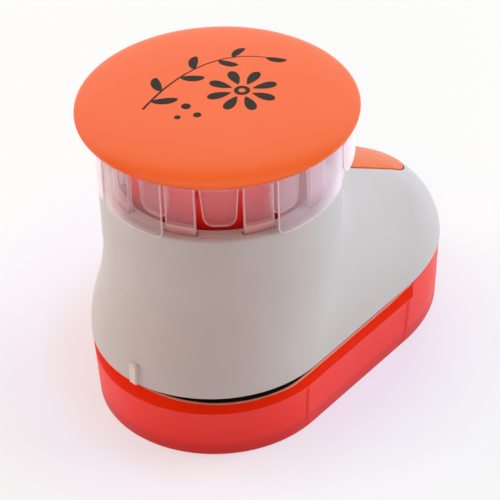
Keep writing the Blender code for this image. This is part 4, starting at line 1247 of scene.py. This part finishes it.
def make_seams():
    """Upright lines on the tray, where its curved ends meet the straight sides."""
    low, high = SEAM_HEIGHTS
    for i, y in enumerate(SEAM_PLACES):
        place = band_angle(y)
        turn = SEAM_HALF * sin(place) / TRAY_RADIUS
        for side, middle in (("left", -place), ("right", place)):

            def sections(angle):
                out = -SEAM_PROUD * (1 - ((angle - middle) / turn) ** 2) - SEAM_BASE
                return (out, low), (out, high), (SEAM_DEPTH, high), (SEAM_DEPTH, low)

            shape = bmesh.new()
            wall_arc(shape, sections, evenly(middle - turn, middle + turn, SEAM_STEPS))
            name = f"tray_seam_{i}_{side}"
            add_piece(name, shape, SEAM_RED, body_of("chip_tray"), 60.0)


make_tray()
make_band()
make_slot_painted_shade()
make_seams()


# Return springs

def make_springs():
    """Coils wound like the solids', which close up as the ram comes down."""
    count = round(SPRING_TURNS * SPRING_STEPS)
    for name in ("return_spring_left", "return_spring_right"):
        points = [nodes[name].matrix_world @ vert.co for vert in nodes[name].data.vertices]
        low, high = min(p.z for p in points), max(p.z for p in points)
        middle = (min(p.x for p in points) + max(p.x for p in points)) / 2
        shape = bmesh.new()
        rings = []
        for i, z in enumerate(evenly(low + SPRING_WIRE, high - SPRING_WIRE, count)):
            turn = 2 * pi * i / SPRING_STEPS
            ring = []
            for k in range(SPRING_SIDES):
                around = 2 * pi * k / SPRING_SIDES
                reach = SPRING_RADIUS + SPRING_WIRE * cos(around)
                ring.append(round_vert(shape, reach, turn, z + SPRING_WIRE * sin(around), middle))
            rings.append(ring)
        skin(shape, rings)
        shape.faces.new(rings[0])
        shape.faces.new(rings[-1])
        made = add_piece(f"{name}_coil", shape, SPRING_STEEL, body_of(name), 60.0)
        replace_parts(made, name)
        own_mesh(made)


make_springs()


# Floor, light and camera

def seen_rays(tree, path, glossy=True):
    """1 for what the camera sees, directly or through clear plastic, and 0 for the rest. What it
    sees in gloss counts too, unless glossy is False."""
    made = path.outputs["Is Camera Ray"]
    for kind in ("Is Transmission Ray", "Is Glossy Ray") if glossy else ("Is Transmission Ray",):
        made = reckon(tree, "MAXIMUM", made, path.outputs[kind])
    return made


def make_floor():
    """A white floor that takes the shadow; the glow over it shows to the camera alone, and near
    the punch it is painted darker and pinker, as painted shade and painted red glow.
    """
    corners = ((-1, -1), (1, -1), (1, 1), (-1, 1))
    mesh = bpy.data.meshes.new("floor")
    mesh.from_pydata([(x * FLOOR_HALF, y * FLOOR_HALF, 0) for x, y in corners], [], [(0, 1, 2, 3)])
    floor = bpy.data.objects.new("floor", mesh)
    bpy.context.scene.collection.objects.link(floor)
    made, tree, shader = new_material("studio_floor")
    tone = mottled(tree, noise(tree, 3.0), (0.88, 0.88, 0.90), (0.90, 0.90, 0.92))
    feed(tree, shader, {"Base Color": tone, "Roughness": 0.6, "Specular IOR Level": 0.2})
    place = place_in(tree)
    away = add_node(tree, "ShaderNodeVectorMath", {0: place}, operation="LENGTH")
    # Painted shade and painted red glow near the punch, fading outwards
    shade_fading = spread(tree, away.outputs["Value"], *FLOOR_PAINTED_SHADE_REACH)
    across = spread(tree, along(tree, place, PHOTO_RIGHT), *FLOOR_ACROSS)
    shaded_glow = blend(tree, across, tones(tree, shade_fading, FLOOR_PAINTED_SHADE_LEFT), tones(tree, shade_fading, FLOOR_PAINTED_SHADE_RIGHT))
    glow = add_node(tree, "ShaderNodeEmission", {"Color": shaded_glow, "Strength": 1.0})
    path = add_node(tree, "ShaderNodeLightPath")
    share = reckon(tree, "MULTIPLY", seen_rays(tree, path), FLOOR_GLOW)
    cover_surface(tree, share, shader.outputs["BSDF"], glow.outputs["Emission"])
    mesh.materials.append(made)


def make_world():
    """Room light that is dimmer and warmer from the camera's side; what gloss mirrors is a bright
    wall, a dim band above it and a soft top."""
    world = bpy.data.worlds.new("studio")
    bpy.context.scene.world = world
    world.use_nodes = True
    tree = world.node_tree
    place = place_in(tree, "Generated")
    front = along(tree, place, PHOTO_FRONT)
    room = tones(tree, spread(tree, front, *ROOM_REACH), ROOM_TONES)
    mirror = tones(tree, height(tree, place), MIRROR_TONES)
    path = add_node(tree, "ShaderNodeLightPath")
    shown = blend(tree, seen_rays(tree, path, glossy=False), room, WHITE)
    mixed = blend(tree, path.outputs["Is Glossy Ray"], shown, mirror)
    feed(tree, tree.nodes["Background"], {"Color": mixed})


def outward(azimuth, elevation):
    """The direction from the punch at degrees round from its front and up from level."""
    turn, rise = radians(azimuth), radians(elevation)
    return Vector((sin(turn) * cos(rise), -cos(turn) * cos(rise), sin(rise)))


def area_light(name, azimuth, elevation, distance, size, power, colour, gloss=False, deep=None):
    """A soft lamp at an angle from the camera's side, aimed at the punch: round, or a panel."""
    data = bpy.data.lights.new(name, "AREA")
    data.shape = "DISK" if deep is None else "RECTANGLE"
    data.size = size
    if deep is not None:
        data.size_y = deep
    data.energy = power
    data.color = colour
    made = bpy.data.objects.new(name, data)
    bpy.context.scene.collection.objects.link(made)
    away = outward(CAMERA_AZIMUTH + azimuth, elevation)
    made.location = Vector(LAMP_TARGET) + distance * away
    made.rotation_euler = (-away).to_track_quat("-Z", "Y").to_euler()
    made.visible_glossy = gloss
    made.visible_camera = False


def make_lamps():
    area_light(
        "right_lamp", azimuth=100.0, elevation=33.0, distance=1.3, size=1.0,
        power=14.4, colour=(0.88, 0.94, 1.0),
    )
    area_light(
        "left_lamp", azimuth=-105.0, elevation=27.0, distance=1.3, size=1.0,
        power=10.8, colour=(1.0, 0.84, 0.72),
    )
    area_light(
        "front_lamp", azimuth=-10.0, elevation=28.0, distance=1.3, size=0.5,
        power=4.0, colour=(1.0, 0.62, 0.48), gloss=True,
    )
    area_light(
        "back_panel", azimuth=180.0, elevation=20.0, distance=1.6, size=3.0, deep=1.4,
        power=15.0, colour=(1.0, 1.0, 1.0),
    )


def make_camera():
    """The photograph's camera, which sees its target at TARGET_PIXEL."""
    back = outward(CAMERA_AZIMUTH, CAMERA_ELEVATION)
    roll = radians(CAMERA_ROLL)
    level_right = (-back).cross(Vector((0, 0, 1))).normalized()
    level_up = level_right.cross(-back)
    right = cos(roll) * level_right + sin(roll) * level_up
    up = -sin(roll) * level_right + cos(roll) * level_up
    scale = CAMERA_DISTANCE * SENSOR_WIDTH / (LENS * IMAGE_SIDE)
    place = Vector(CAMERA_TARGET) + CAMERA_DISTANCE * back
    place -= (TARGET_PIXEL[0] - IMAGE_SIDE / 2) * scale * right
    place -= (IMAGE_SIDE / 2 - TARGET_PIXEL[1]) * scale * up
    data = bpy.data.cameras.new("camera")
    data.sensor_width = SENSOR_WIDTH
    data.lens = LENS
    data.clip_start, data.clip_end = CAMERA_CLIP
    made = bpy.data.objects.new("camera", data)
    bpy.context.scene.collection.objects.link(made)
    matrix = Matrix((right, up, back)).transposed().to_4x4()
    matrix.translation = place
    made.matrix_world = matrix
    bpy.context.scene.camera = made


make_floor()
make_world()
make_lamps()
make_camera()
bpy.context.scene.view_settings.view_transform = "Standard"
